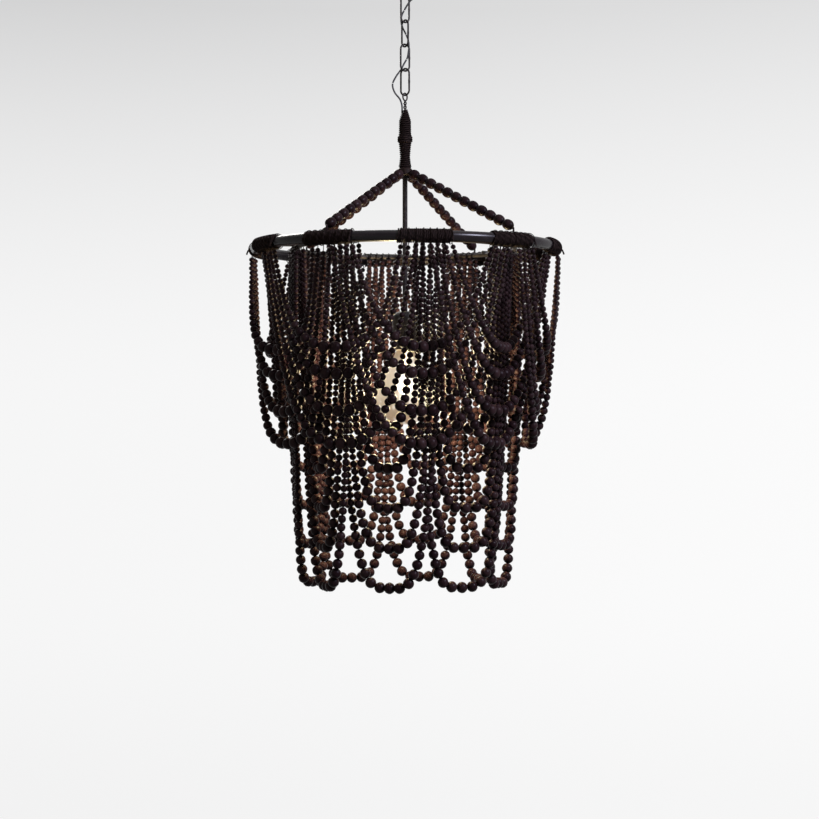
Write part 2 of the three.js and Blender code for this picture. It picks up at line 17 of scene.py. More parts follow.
import bpy
import numpy as np
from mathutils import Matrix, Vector

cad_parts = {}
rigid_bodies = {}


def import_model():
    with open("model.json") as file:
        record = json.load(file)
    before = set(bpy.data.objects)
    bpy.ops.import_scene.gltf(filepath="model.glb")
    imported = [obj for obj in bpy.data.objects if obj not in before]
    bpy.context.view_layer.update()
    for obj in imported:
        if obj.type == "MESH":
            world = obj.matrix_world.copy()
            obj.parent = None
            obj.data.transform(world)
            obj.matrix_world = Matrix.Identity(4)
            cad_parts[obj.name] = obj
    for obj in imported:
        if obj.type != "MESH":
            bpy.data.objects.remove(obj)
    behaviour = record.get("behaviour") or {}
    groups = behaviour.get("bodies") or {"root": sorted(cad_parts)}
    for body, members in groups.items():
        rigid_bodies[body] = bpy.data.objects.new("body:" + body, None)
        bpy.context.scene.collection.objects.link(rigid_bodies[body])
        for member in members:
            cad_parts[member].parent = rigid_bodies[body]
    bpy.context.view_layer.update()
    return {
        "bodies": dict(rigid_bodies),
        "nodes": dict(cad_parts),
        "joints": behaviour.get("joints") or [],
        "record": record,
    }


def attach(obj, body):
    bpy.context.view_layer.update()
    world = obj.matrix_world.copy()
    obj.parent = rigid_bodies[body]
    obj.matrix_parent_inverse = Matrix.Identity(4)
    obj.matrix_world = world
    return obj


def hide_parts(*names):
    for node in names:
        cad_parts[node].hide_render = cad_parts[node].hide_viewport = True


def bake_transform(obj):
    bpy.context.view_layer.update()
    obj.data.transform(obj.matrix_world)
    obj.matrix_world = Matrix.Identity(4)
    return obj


log = logging.getLogger("beaded_chandelier")

Colour = tuple[float, float, float, float]
Pair = tuple[float, float]
Triple = tuple[float, float, float]

FULL_TURN = 2 * math.pi
UP = np.array([0.0, 0.0, 1.0])
STEM_TOP = -0.2361
TUBE_BORE = 0.00405
HOOP_RADIUS = 0.224
HOOP_LEVEL = -0.4391
RING_RADIUS = 0.1659
BURNER_LEVEL = -0.643
SHARP_ANGLE = 42.0
BEAD_FLAT = 15.0
BEAD_TONES = (1.6, 2.6)
HOLE_FALLOFF = 4


class Body(str, Enum):
    """The bodies that pieces ride on."""

    CEILING = "ceiling_fitting"
    CANOPY = "canopy"
    LINK_1 = "link_1"
    LINK_2 = "link_2"
    LINK_3 = "link_3"
    LINK_4 = "link_4"
    LAMP = "lamp"
    BULB = "bulb"


class Slot(str, Enum):
    """The record's material slots."""

    ZINC = "zinc_steel"
    IRON = "black_iron"
    PLASTIC = "black_plastic"
    FLEX = "black_flex"
    TURNED = "turned_wood"
    CORD = "cord"
    BEADS = "beads"
    TUBE = "gloss_tube"
    NICKEL = "nickel"
    GLASS = "frosted_glass"


# Shader expressions


class Sock:
    """A shader socket that takes part in Python arithmetic."""

    def __init__(self, shader: "Shader", socket: Any) -> None:
        """Keeps the shader that the socket belongs to."""
        self.shader = shader
        self.socket = socket

    def maths(self, operation: str, *others: Any) -> "Sock":
        """Adds a Math node, with this socket and the others as its operands."""
        return self.shader.node("ShaderNodeMath", {"operation": operation}, dict(enumerate((self, *others))))

    def __add__(self, other: Any) -> "Sock":
        """Adds."""
        return self.maths("ADD", other)

    def __mul__(self, other: Any) -> "Sock":
        """Multiplies."""
        return self.maths("MULTIPLY", other)

    def __sub__(self, other: Any) -> "Sock":
        """Subtracts."""
        return self.maths("SUBTRACT", other)

    def __rsub__(self, other: Any) -> "Sock":
        """Subtracts from a number."""
        return (self * -1.0) + other

    def __pow__(self, other: Any) -> "Sock":
        """Raises to a power."""
        return self.maths("POWER", other)

    def sine(self) -> "Sock":
        """The sine."""
        return self.maths("SINE")

    def between(self, low: float, high: float) -> "Sock":
        """Maps the range from low to high smoothly to the range from 0 to 1."""
        settings = {"interpolation_type": "SMOOTHSTEP"}
        return self.shader.node("ShaderNodeMapRange", settings, {"Value": self, "From Min": low, "From Max": high})


class Shader:
    """A material under construction."""

    def __init__(self, name: str) -> None:
        """Starts an empty node tree.

        Args:
            name: The material's name.
        """
        self.material = bpy.data.materials.new(name)
        self.material.use_nodes = True
        self.tree = self.material.node_tree
        self.tree.nodes.clear()

    def node(self, kind: str, settings: dict[str, Any], values: dict[Any, Any], output: Any = 0) -> Sock:
        """Adds one node.

        Args:
            kind: The node's type.
            settings: Its own settings, set first.
            values: Values or links for its sockets, by name or number.
            output: The output that is wanted, by name or number.

        Returns:
            The output.
        """
        made = self.tree.nodes.new(kind)
        for name, setting in settings.items():
            setattr(made, name, setting)
        for name, value in values.items():
            if isinstance(value, Sock):
                self.tree.links.new(value.socket, made.inputs[name])
            else:
                made.inputs[name].default_value = value
        return Sock(self, made.outputs[output])

    def place(self) -> Sock:
        """The point on the surface, in the object's own metres."""
        return self.node("ShaderNodeTexCoord", {}, {}, "Object")

    def mark(self, name: str, output: str = "Fac") -> Sock:
        """A number or vector that the mesh carries, by its attribute's name."""
        return self.node("ShaderNodeAttribute", {"attribute_name": name}, {}, output)

    def part(self, vector: Sock, axis: str) -> Sock:
        """One coordinate of a vector: X, Y or Z."""
        return self.node("ShaderNodeSeparateXYZ", {}, {"Vector": vector}, axis)

    def noise(self, scale: float, detail: float = 2.0, vector: Sock | None = None) -> Sock:
        """Cloudy noise about 0.5, so many clouds to the metre, read at the object's own place or a vector."""
        where = vector if vector is not None else self.place()
        return self.node("ShaderNodeTexNoise", {}, {"Vector": where, "Scale": scale, "Detail": detail})

    def stretched(self, stretch: Triple) -> Sock:
        """The object's own place, stretched along its axes."""
        return self.node("ShaderNodeVectorMath", {"operation": "MULTIPLY"}, {0: self.place(), 1: stretch})

    def mix(self, share: Any, first: Any, second: Any) -> Sock:
        """Mixes two colours, by the share of the second."""
        return self.node("ShaderNodeMix", {"data_type": "RGBA"}, {0: share, 6: first, 7: second}, 2)

    def bump(self, height: Sock, distance: float, strength: float = 1.0) -> Sock:
        """A normal raised by a height from 0 to 1, which measures the distance in metres where it is 1."""
        return self.node("ShaderNodeBump", {}, {"Height": height, "Distance": distance, "Strength": strength})

    def surface(self, **values: Any) -> bpy.types.Material:
        """Ends the material with one Principled shader, whose sockets are named with underscores."""
        named = {name.replace("_", " "): value for name, value in values.items()}
        return self.end(self.node("ShaderNodeBsdfPrincipled", {}, named))

    def end(self, shader: Sock) -> bpy.types.Material:
        """Links a shader to the material's surface.

        Args:
            shader: The last shader.

        Returns:
            The finished material.
        """
        target = self.tree.nodes.new("ShaderNodeOutputMaterial")
        self.tree.links.new(shader.socket, target.inputs["Surface"])
        return self.material

    def seen_share(self) -> Sock:
        """How much of a background is seen itself: 1 where it is looked at, mirrored or seen through glass.

        Returns:
            A value from 0 to 1.
        """
        ray = self.node("ShaderNodeLightPath", {}, {}, "Is Camera Ray")
        gloss = self.node("ShaderNodeLightPath", {}, {}, "Is Glossy Ray")
        through = self.node("ShaderNodeLightPath", {}, {}, "Is Transmission Ray")
        return (ray + gloss + through).maths("MINIMUM", 1.0)


class SkyShader(Shader):
    """The world's shader under construction."""

    def __init__(self, name: str) -> None:
        """Makes the world and starts its node tree.

        Args:
            name: The world's name.
        """
        self.world = bpy.data.worlds.new(name)
        self.world.use_nodes = True
        self.tree = self.world.node_tree
        self.tree.nodes.clear()

    def finish(self, shader: Sock) -> None:
        """Links a shader to the world's surface and hangs the world in the scene.

        Args:
            shader: The last shader.
        """
        target = self.tree.nodes.new("ShaderNodeOutputWorld")
        self.tree.links.new(shader.socket, target.inputs["Surface"])
        bpy.context.scene.world = self.world



@dataclass(frozen=True)
class Finish:
    """What all finishes share: how rough they are, how their relief shows and how they shine."""

    rough_base: float = 0.4
    rough_swing: float = 0.2
    relief: float = 0.0001
    relief_share: float = 0.5
    sheen: float = 0.5

    def coat(self, s: Shader, colour: Any, pattern: Sock, height: Sock, **more: Any) -> bpy.types.Material:
        """Ends a material whose roughness swings with a pattern.

        Args:
            s: The material under construction.
            colour: Its colour.
            pattern: What its roughness follows.
            height: What its relief follows, from 0 to 1.
            more: Further sockets' values, with underscores for spaces.

        Returns:
            The finished material.
        """
        return s.surface(
            Base_Color=colour,
            Roughness=pattern * self.rough_swing + self.rough_base,
            Normal=s.bump(height, self.relief, self.relief_share),
            Specular_IOR_Level=self.sheen,
            **more,
        )


@dataclass(frozen=True)
class BeadWood(Finish):
    """Stained wooden beads, satin from waxing, no two quite alike, with painted shade round their holes where each
    touches the next.
    """

    dark: Colour = (0.0062, 0.0024, 0.0032, 1)
    warm: Colour = (0.0225, 0.0116, 0.0118, 1)
    # Painted shade: the colour that the beads darken to round their holes, where each touches the next.
    hole_shade_colour: Colour = (0.0016, 0.0008, 0.0009, 1)
    grain_scale: float = 520.0
    grain_stretch: Triple = (1.0, 1.0, 0.35)
    grain_span: Pair = (0.35, 0.7)
    grain_share: float = 0.3
    stain_span: Pair = (0.05, 1.0)
    pore_scale: float = 2600.0
    pore_share: float = 0.3
    hole_shade_span: Pair = (0.05, 0.9)
    hole_shade_share: float = 0.8
    rough_base: float = 0.22
    relief: float = 0.00012
    sheen: float = 0.03

    def make(self, name: str) -> bpy.types.Material:
        """Makes the material.

        Args:
            name: The material's name.

        Returns:
            The material.
        """
        s = Shader(name)
        hole = s.mark("pole")
        grain = s.noise(self.grain_scale, 3.0, s.stretched(self.grain_stretch))
        pores = s.noise(self.pore_scale, 1.0)
        stain = s.mark("tone") * (1 - self.grain_share) + grain.between(*self.grain_span) * self.grain_share
        # Painted shade, strongest at each hole, where one bead meets the next.
        hole_shade = (hole + (grain - 0.5) * 0.2).between(*self.hole_shade_span) * self.hole_shade_share
        colour = s.mix(hole_shade, s.mix(stain.between(*self.stain_span), self.dark, self.warm), self.hole_shade_colour)
        height = grain * (1 - self.pore_share) + pores * self.pore_share
        return self.coat(s, colour, grain * 0.8 + hole, height)


@dataclass(frozen=True)
class TurnedWood(Finish):
    """Dark turned wood with its grain along the turning axis."""

    dark: Colour = (0.0060, 0.0036, 0.0032, 1)
    light: Colour = (0.0170, 0.0102, 0.0082, 1)
    grain_scale: float = 420.0
    grain_stretch: Triple = (1.0, 1.0, 0.12)
    light_span: Pair = (0.3, 0.72)
    relief: float = 0.0002
    relief_share: float = 0.6
    sheen: float = 0.05

    def make(self, name: str) -> bpy.types.Material:
        """Makes the material.

        Args:
            name: The material's name.

        Returns:
            The material.
        """
        s = Shader(name)
        grain = s.noise(self.grain_scale, 4.0, s.stretched(self.grain_stretch))
        return self.coat(s, s.mix(grain.between(*self.light_span), self.dark, self.light), grain, grain)


@dataclass(frozen=True)
class TwistedCord(Finish):
    """Waxed cord of twisted strands, which the mesh's wind attribute follows, with painted shade in the grooves between
    them.
    """

    # Painted shade: the colour of the grooves between the twisted strands.
    groove_shade: Colour = (0.003, 0.0018, 0.0018, 1)
    crown: Colour = (0.018, 0.0115, 0.0100, 1)
    crown_span: Pair = (0.15, 0.85)
    strands: float = 3.0
    lay: float = 0.0075
    fibre_scale: float = 2400.0
    fibre_share: float = 0.25
    rough_base: float = 0.62
    relief: float = 0.0005
    relief_share: float = 0.8
    sheen: float = 0.03

    def make(self, name: str) -> bpy.types.Material:
        """Makes the material.

        Args:
            name: The material's name.

        Returns:
            The material.
        """
        s = Shader(name)
        wind = s.mark("wind", "Vector")
        along = s.part(wind, "Y") * (1 / self.lay)
        twist = ((s.part(wind, "X") * self.strands + along) * FULL_TURN).sine() * 0.5 + 0.5
        fibre = s.noise(self.fibre_scale, 2.0)
        crown = (twist * (1 - self.fibre_share) + fibre * self.fibre_share).between(*self.crown_span)
        # The darker grooves are painted shade between the strands.
        return self.coat(s, s.mix(crown, self.groove_shade, self.crown), fibre, crown)


@dataclass(frozen=True)
class BraidedFlex(Finish):
    """A woven black sleeve over a flex, with painted shade in the gaps between its threads."""

    thread: Colour = (0.016, 0.016, 0.017, 1)
    # Painted shade: the colour of the gaps between the woven threads.
    gap_shade: Colour = (0.005, 0.005, 0.006, 1)
    thread_span: Pair = (0.2, 0.8)
    ends: float = 6.0
    pitch: float = 0.004
    rough_base: float = 0.6
    rough_swing: float = 0.15
    relief: float = 0.0002
    relief_share: float = 0.7

    def make(self, name: str) -> bpy.types.Material:
        """Makes the material.

        Args:
            name: The material's name.

        Returns:
            The material.
        """
        s = Shader(name)
        wind = s.mark("wind", "Vector")
        turn = s.part(wind, "X") * (self.ends * FULL_TURN)
        run = s.part(wind, "Y") * (FULL_TURN / self.pitch)
        weave = (turn + run).sine() * (turn - run).sine() * 0.5 + 0.5
        # The darker gaps are painted shade between the threads.
        return self.coat(s, s.mix(weave.between(*self.thread_span), self.gap_shade, self.thread), weave, weave)


@dataclass(frozen=True, kw_only=True)
class Enamel(Finish):
    """Dark enamelled or blackened metal."""

    colour: Colour
    worn: Colour
    metallic: float
    worn_span: Pair = (0.45, 0.75)
    cloud_scale: float = 90.0
    speck_scale: float = 900.0
    speck_share: float = 0.4
    rough_swing: float = 0.12
    relief_share: float = 0.4
    sheen: float = 0.12

    def make(self, name: str) -> bpy.types.Material:
        """Makes the material.

        Args:
            name: The material's name.

        Returns:
            The material.
        """
        s = Shader(name)
        cloud = s.noise(self.cloud_scale, 4.0)
        speck = s.noise(self.speck_scale, 2.0)
        wear = (cloud * (1 - self.speck_share) + speck * self.speck_share).between(*self.worn_span)
        return self.coat(s, s.mix(wear, self.colour, self.worn), cloud + speck * 0.5, speck, Metallic=self.metallic)


@dataclass(frozen=True, kw_only=True)
class PlatedMetal(Finish):
    """Bright plated or galvanised metal with fine turning marks."""

    colour: Colour
    dull: Colour
    dull_span: Pair = (0.35, 0.75)
    line_scale: float = 1500.0
    line_stretch: Triple = (0.04, 0.04, 1.0)
    cloud_scale: float = 120.0
    rough_swing: float = 0.15
    relief: float = 0.00005
    relief_share: float = 0.4

    def make(self, name: str) -> bpy.types.Material:
        """Makes the material.

        Args:
            name: The material's name.

        Returns:
            The material.
        """
        s = Shader(name)
        lines = s.noise(self.line_scale, 1.0, s.stretched(self.line_stretch))
        cloud = s.noise(self.cloud_scale, 3.0)
        colour = s.mix(cloud.between(*self.dull_span), self.colour, self.dull)
        return self.coat(s, colour, cloud + lines * (2 / 3), lines, Metallic=1.0)


@dataclass(frozen=True)
class MouldedPlastic(Finish):
    """Black moulded plastic with a fine spark-eroded grain."""

    colour: Colour = (0.0060, 0.0048, 0.0046, 1)
    rubbed: Colour = (0.0110, 0.0088, 0.0084, 1)
    rubbed_span: Pair = (0.3, 0.7)
    grain_scale: float = 3200.0
    cloud_scale: float = 150.0
    rough_base: float = 0.38
    rough_swing: float = 0.15
    relief: float = 0.00006
    sheen: float = 0.12

    def make(self, name: str) -> bpy.types.Material:
        """Makes the material.

        Args:
            name: The material's name.

        Returns:
            The material.
        """
        s = Shader(name)
        cloud = s.noise(self.cloud_scale, 2.0)
        colour = s.mix(cloud.between(*self.rubbed_span), self.colour, self.rubbed)
        return self.coat(s, colour, cloud, s.noise(self.grain_scale, 1.0))


@dataclass(frozen=True)
class FrostedGlass(Finish):
    """A lit bulb's glass, brightest round the level of its burner, which shows through it."""

    colour: Colour = (0.50, 0.42, 0.32, 1)
    rim: Colour = (0.33, 0.23, 0.12, 1)
    heart: Colour = (0.84, 0.71, 0.50, 1)
    rim_span: Pair = (0.15, 1.0)
    level: float = BURNER_LEVEL
    reach: float = 0.060
    strength: float = 1.0
    opacity: float = 0.62
    mottle_scale: float = 260.0
    rough_base: float = 0.3
    rough_swing: float = 0.1
    relief_share: float = 0.3

    def make(self, name: str) -> bpy.types.Material:
        """Makes the material.

        Args:
            name: The material's name.

        Returns:
            The material.
        """
        s = Shader(name)
        away = ((s.part(s.place(), "Z") - self.level) * (1 / self.reach)).maths("ABSOLUTE")
        glow = s.mix(away.between(*self.rim_span), self.heart, self.rim)
        mottle = s.noise(self.mottle_scale, 2.0)
        front = 1 - s.node("ShaderNodeNewGeometry", {}, {}, "Backfacing")
        more = {"Emission_Color": glow, "Emission_Strength": self.strength, "Alpha": front * self.opacity}
        return self.coat(s, self.colour, mottle, mottle, **more)


@dataclass(frozen=True)
class GlowingOpal(Finish):
    """The opal burner inside a lit bulb, hottest at its round foot."""

    body: Colour = (0.8, 0.76, 0.70, 1)
    hot: Colour = (1.0, 0.93, 0.80, 1)
    mild: Colour = (0.60, 0.42, 0.25, 1)
    mild_span: Pair = (0.3, 1.0)
    level: float = BURNER_LEVEL
    reach: float = 0.030
    strength: float = 3.0
    mottle_scale: float = 700.0
    rough_swing: float = 0.1
    relief: float = 0.00005
    relief_share: float = 0.3

    def make(self, name: str) -> bpy.types.Material:
        """Makes the material.

        Args:
            name: The material's name.

        Returns:
            The material.
        """
        s = Shader(name)
        cooler = (s.part(s.place(), "Z") - self.level) * (1 / self.reach)
        glow = s.mix(cooler.between(*self.mild_span), self.hot, self.mild)
        mottle = s.noise(self.mottle_scale, 2.0)
        return self.coat(s, self.body, mottle, mottle, Emission_Color=glow, Emission_Strength=self.strength)


BLACK_IRON = Enamel(
    colour=(0.014, 0.012, 0.012, 1), worn=(0.038, 0.032, 0.029, 1), metallic=0.5, rough_base=0.37, relief=0.0001
)
GLOSS_TUBE = Enamel(
    colour=(0.006, 0.004, 0.005, 1), worn=(0.013, 0.009, 0.010, 1), metallic=0.0, rough_base=0.17, relief=0.00003
)
ZINC_STEEL = PlatedMetal(colour=(0.60, 0.61, 0.62, 1), dull=(0.42, 0.43, 0.44, 1), rough_base=0.30)
NICKEL = PlatedMetal(colour=(0.70, 0.68, 0.63, 1), dull=(0.55, 0.53, 0.49, 1), rough_base=0.16)


class Finishes:
    """Every finish, made once, by slot."""

    def __init__(self) -> None:
        """Makes the finishes."""
        self.by_slot: dict[Slot, bpy.types.Material] = {
            Slot.ZINC: ZINC_STEEL.make("zinc_plated_steel"),
            Slot.IRON: BLACK_IRON.make("blackened_iron"),
            Slot.PLASTIC: MouldedPlastic().make("moulded_plastic"),
            Slot.FLEX: BraidedFlex().make("braided_flex"),
            Slot.TURNED: TurnedWood().make("dark_turned_wood"),
            Slot.CORD: TwistedCord().make("waxed_twisted_cord"),
            Slot.BEADS: BeadWood().make("stained_bead_wood"),
            Slot.TUBE: GLOSS_TUBE.make("gloss_lacquered_tube"),
            Slot.NICKEL: NICKEL.make("nickel_plate"),
            Slot.GLASS: FrostedGlass().make("lit_frosted_glass"),
        }
        self.burner = GlowingOpal().make("glowing_opal")


# Shapes


def outwards(azimuth: float) -> np.ndarray:
    """The level unit vector away from the axis at an azimuth."""
    turn = math.radians(azimuth)
    return np.array([math.sin(turn), -math.cos(turn), 0.0])


def rightwards(azimuth: float) -> np.ndarray:
    """The level unit vector to the right of outwards at an azimuth."""
    turn = math.radians(azimuth)
    return np.array([math.cos(turn), math.sin(turn), 0.0])


def unit(vectors: np.ndarray) -> np.ndarray:
    """Scales rows of vectors to length 1."""
    return vectors / np.linalg.norm(vectors, axis=-1, keepdims=True)


def angles(steps: int) -> np.ndarray:
    """The angles of even steps round a full turn."""
    return np.arange(steps) * FULL_TURN / steps


def hang(name: str, data: Any, place: Sequence[float] = (0.0, 0.0, 0.0)) -> bpy.types.Object:
    """Adds an object to the scene.

    Args:
        name: Its name.
        data: Its mesh, lamp or camera.
        place: Where it hangs.

    Returns:
        The object.
    """
    made = bpy.data.objects.new(name, data)
    made.location = place
    bpy.context.scene.collection.objects.link(made)
    return made


def quads(rings: int, sides: int, closed: bool = False) -> tuple[np.ndarray, np.ndarray, np.ndarray]:
    """The faces between rings of points.

    Args:
        rings: How many rings there are.
        sides: How many points each ring has.
        closed: Whether the last ring joins the first.

    Returns:
        The faces, and the ring and the side that each belongs to.
    """
    i, k = np.meshgrid(np.arange(rings if closed else rings - 1), np.arange(sides), indexing="ij")
    j, m = (i + 1) % rings, (k + 1) % sides
    return np.stack([i * sides + k, i * sides + m, j * sides + m, j * sides + k], axis=-1).reshape(-1, 4), i, k


def headings(path: np.ndarray, closed: bool) -> np.ndarray:
    """The direction of a path at each of its points.

    Args:
        path: The points.
        closed: Whether the path closes on itself.

    Returns:
        Unit vectors.
    """
    if closed:
        return unit(np.roll(path, -1, axis=0) - np.roll(path, 1, axis=0))
    return unit(np.gradient(path, axis=0))


def sides_along(path: np.ndarray, closed: bool) -> np.ndarray:
    """A side direction at each point, carried along the path without twist.

    Args:
        path: The points.
        closed: Whether the path closes on itself.

    Returns:
        Unit vectors across the path.
    """
    ways = headings(path, closed)
    start = UP if abs(ways[0][2]) < 0.9 else np.array([0.0, 1.0, 0.0])
    side = start - ways[0] * float(start @ ways[0])
    result = []
    for way in ways:
        side = side - way * float(side @ way)
        side = side / np.linalg.norm(side)
        result.append(side)
    return np.array(result)


@dataclass
class Blank:
    """A mesh that is put together from tubes, turned shapes and beads."""

    points: list[np.ndarray] = field(default_factory=list)
    corners: list[np.ndarray] = field(default_factory=list)
    sizes: list[np.ndarray] = field(default_factory=list)
    winds: list[np.ndarray] = field(default_factory=list)
    tones: list[np.ndarray] = field(default_factory=list)
    poles: list[np.ndarray] = field(default_factory=list)
    start: int = 0
    count: int = 0

    def add_faces(self, faces: np.ndarray, winds: np.ndarray | None = None) -> None:
        """Adds faces that all have one number of corners.

        Args:
            faces: Rows of point numbers, counted from the first point of the last added points.
            winds: For each corner, how far around and how far along it lies.
        """
        self.corners.append((faces + self.start).ravel())
        self.sizes.append(np.full(len(faces), faces.shape[1]))
        shape = (faces.size, 2)
        self.winds.append(np.zeros(shape) if winds is None else winds.reshape(shape))

    def add_points(self, points: np.ndarray, tone: Any = 0.5, pole: Any = 0.0) -> None:
        """Adds points, which the faces added next refer to.

        Args:
            points: Rows of coordinates.
            tone: The colour tone, one for all or one each.
            pole: How near a bead's hole it is, one for all or one each.
        """
        self.start = self.count
        self.points.append(points)
        self.tones.append(np.broadcast_to(tone, len(points)))
        self.poles.append(np.broadcast_to(pole, len(points)))
        self.count += len(points)

    def tube(
        self,
        path: np.ndarray,
        radius: Any,
        sides: int = 12,
        closed: bool = False,
        across: np.ndarray | None = None,
        tone: float = 0.5,
    ) -> Blank:
        """Adds one tube along a path.

        Args:
            path: The points that it follows.
            radius: One radius, or one for each point.
            sides: How many sides its section has.
            closed: Whether the path closes on itself.
            across: A side direction at each point, or None to carry one along.
            tone: Its colour tone.

        Returns:
            The blank itself.
        """
        ways = headings(path, closed)
        if across is None:
            side = sides_along(path, closed)
        else:
            side = unit(across - ways * np.sum(across * ways, axis=1)[:, None])
        other = np.cross(ways, side)
        radii = np.broadcast_to(radius, len(path))[:, None, None]
        turn = angles(sides)
        ring = np.cos(turn)[None, :, None] * side[:, None, :] + np.sin(turn)[None, :, None] * other[:, None, :]
        points = path[:, None, :] + radii * ring
        self.add_points(points.reshape(-1, 3), tone)
        steps = np.linalg.norm(np.diff(path, axis=0, append=path[:1] if closed else path[-1:]), axis=1)
        self.skin(len(path), sides, closed, np.concatenate([[0.0], np.cumsum(steps)]))
        if not closed:
            self.close(len(path), sides)
        return self

    def skin(self, rings: int, sides: int, closed: bool, along: np.ndarray) -> None:
        """Adds the faces between rings of points.

        Args:
            rings: How many rings there are.
            sides: How many points each ring has.
            closed: Whether the last ring joins the first.
            along: How far along each ring lies.
        """
        faces, i, k = quads(rings, sides, closed)
        around = np.stack([k, k + 1, k + 1, k], axis=-1) / sides
        length = np.stack([along[i], along[i], along[i + 1], along[i + 1]], axis=-1)
        self.add_faces(faces, np.stack([around, length], axis=-1).reshape(-1, 4, 2))

    def close(self, rings: int, sides: int, foot: bool = True, head: bool = True) -> None:
        """Closes the ends of a row of rings with a face each.

        Args:
            rings: How many rings there are.
            sides: How many points each ring has.
            foot: Whether the first ring is closed.
            head: Whether the last ring is closed.
        """
        if foot:
            self.add_faces(np.arange(sides)[None, ::-1])
        if head:
            self.add_faces((np.arange(sides) + (rings - 1) * sides)[None, :])

    def turned(self, profile: Sequence[Pair], segments: int, centre: Sequence[float] = (0, 0)) -> Blank:
        """Adds a shape turned about an upright axis.

        Args:
            profile: Pairs of radius and level, up the outside from the foot. Where no radius is zero it closes.
            segments: How many segments it has round it.
            centre: Where the axis stands.

        Returns:
            The blank itself.
        """
        pairs = np.array(profile, dtype=float)
        turn = angles(segments)
        level = np.stack([np.sin(turn), -np.cos(turn)], axis=1)
        rows = [np.column_stack([r * level + np.array(centre), np.full(segments, z)]) for r, z in pairs if r > 0]
        self.add_points(np.concatenate(rows))
        closed = bool(np.all(pairs[:, 0] > 0))
        self.skin(len(rows), segments, closed, np.zeros(len(rows) + 1))
        self.close(len(rows), segments, pairs[0, 0] == 0, pairs[-1, 0] == 0)
        return self

    def beads(
        self,
        centres: np.ndarray,
        axes: np.ndarray,
        radii: np.ndarray,
        halves: np.ndarray,
        dice: np.random.Generator,
        sides: int = 12,
        rings: int = 8,
    ) -> None:
        """Adds turned beads, each with a flat at both ends round its hole.

        Args:
            centres: Their centres.
            axes: The directions of their holes.
            radii: Their radii.
            halves: Half their lengths, along the hole.
            dice: Where their turns and tones come from.
            sides: How many sides each has round its hole.
            rings: How many rings each has along it.
        """
        polar = np.radians(np.linspace(BEAD_FLAT, 180.0 - BEAD_FLAT, rings))
        rim = np.sin(polar)
        height = -np.cos(polar) / math.cos(polar[0])
        spread = dice.uniform(0, FULL_TURN, len(centres))
        helper = np.where(np.abs(axes[:, 2:]) < 0.9, UP, np.array([0.0, 1.0, 0.0]))
        first = unit(np.cross(helper, axes))
        second = np.cross(axes, first)
        angle = angles(sides)[None, :] + spread[:, None]
        ring = np.cos(angle)[..., None] * first[:, None, :] + np.sin(angle)[..., None] * second[:, None, :]
        points = (
            centres[:, None, None, :]
            + (radii[:, None] * rim[None, :])[..., None, None] * ring[:, None, :, :]
            + (halves[:, None] * height[None, :])[..., None, None] * axes[:, None, None, :]
        )
        tones = np.repeat(dice.beta(*BEAD_TONES, len(centres)), rings * sides)
        poles = np.tile(np.repeat(np.abs(height) ** HOLE_FALLOFF, sides), len(centres))
        self.add_points(points.reshape(-1, 3), tones, poles)
        starts = (np.arange(len(centres)) * rings * sides)[:, None, None]
        self.add_faces((quads(rings, sides)[0][None] + starts).reshape(-1, 4))
        foot = np.arange(sides)[::-1]
        head = np.arange(sides) + (rings - 1) * sides
        self.add_faces((foot[None] + starts[:, 0]).reshape(-1, sides))
        self.add_faces((head[None] + starts[:, 0]).reshape(-1, sides))

    def make(self, name: str) -> bpy.types.Object:
        """Makes the Blender object.

        Args:
            name: The object's name.

        Returns:
            The object, linked to the scene.
        """
        mesh = bpy.data.meshes.new(name)
        points = np.concatenate(self.points)
        corners = np.concatenate(self.corners).astype(np.int32)
        sizes = np.concatenate(self.sizes).astype(np.int32)
        mesh.vertices.add(len(points))
        mesh.vertices.foreach_set("co", points.astype(np.float32).ravel())
        mesh.loops.add(len(corners))
        mesh.loops.foreach_set("vertex_index", corners)
        mesh.polygons.add(len(sizes))
        mesh.polygons.foreach_set("loop_start", np.concatenate([[0], np.cumsum(sizes)[:-1]]).astype(np.int32))
        mesh.polygons.foreach_set("loop_total", sizes)
        mesh.polygons.foreach_set("use_smooth", np.ones(len(sizes), dtype=bool))
        mesh.update(calc_edges=True)
        self.write_marks(mesh)
        mesh.set_sharp_from_angle(angle=math.radians(SHARP_ANGLE))
        return hang(name, mesh)

    def write_marks(self, mesh: bpy.types.Mesh) -> None:
        """Writes the numbers that the finishes read.

        Args:
            mesh: The mesh that carries them.
        """
        for name, rows in (("tone", self.tones), ("pole", self.poles)):
            mark = mesh.attributes.new(name, "FLOAT", "POINT")
            mark.data.foreach_set("value", np.concatenate(rows).astype(np.float32))
        winds = np.concatenate(self.winds)
        flat = np.column_stack([winds, np.zeros(len(winds))]).astype(np.float32)
        mesh.attributes.new("wind", "FLOAT_VECTOR", "CORNER").data.foreach_set("vector", flat.ravel())


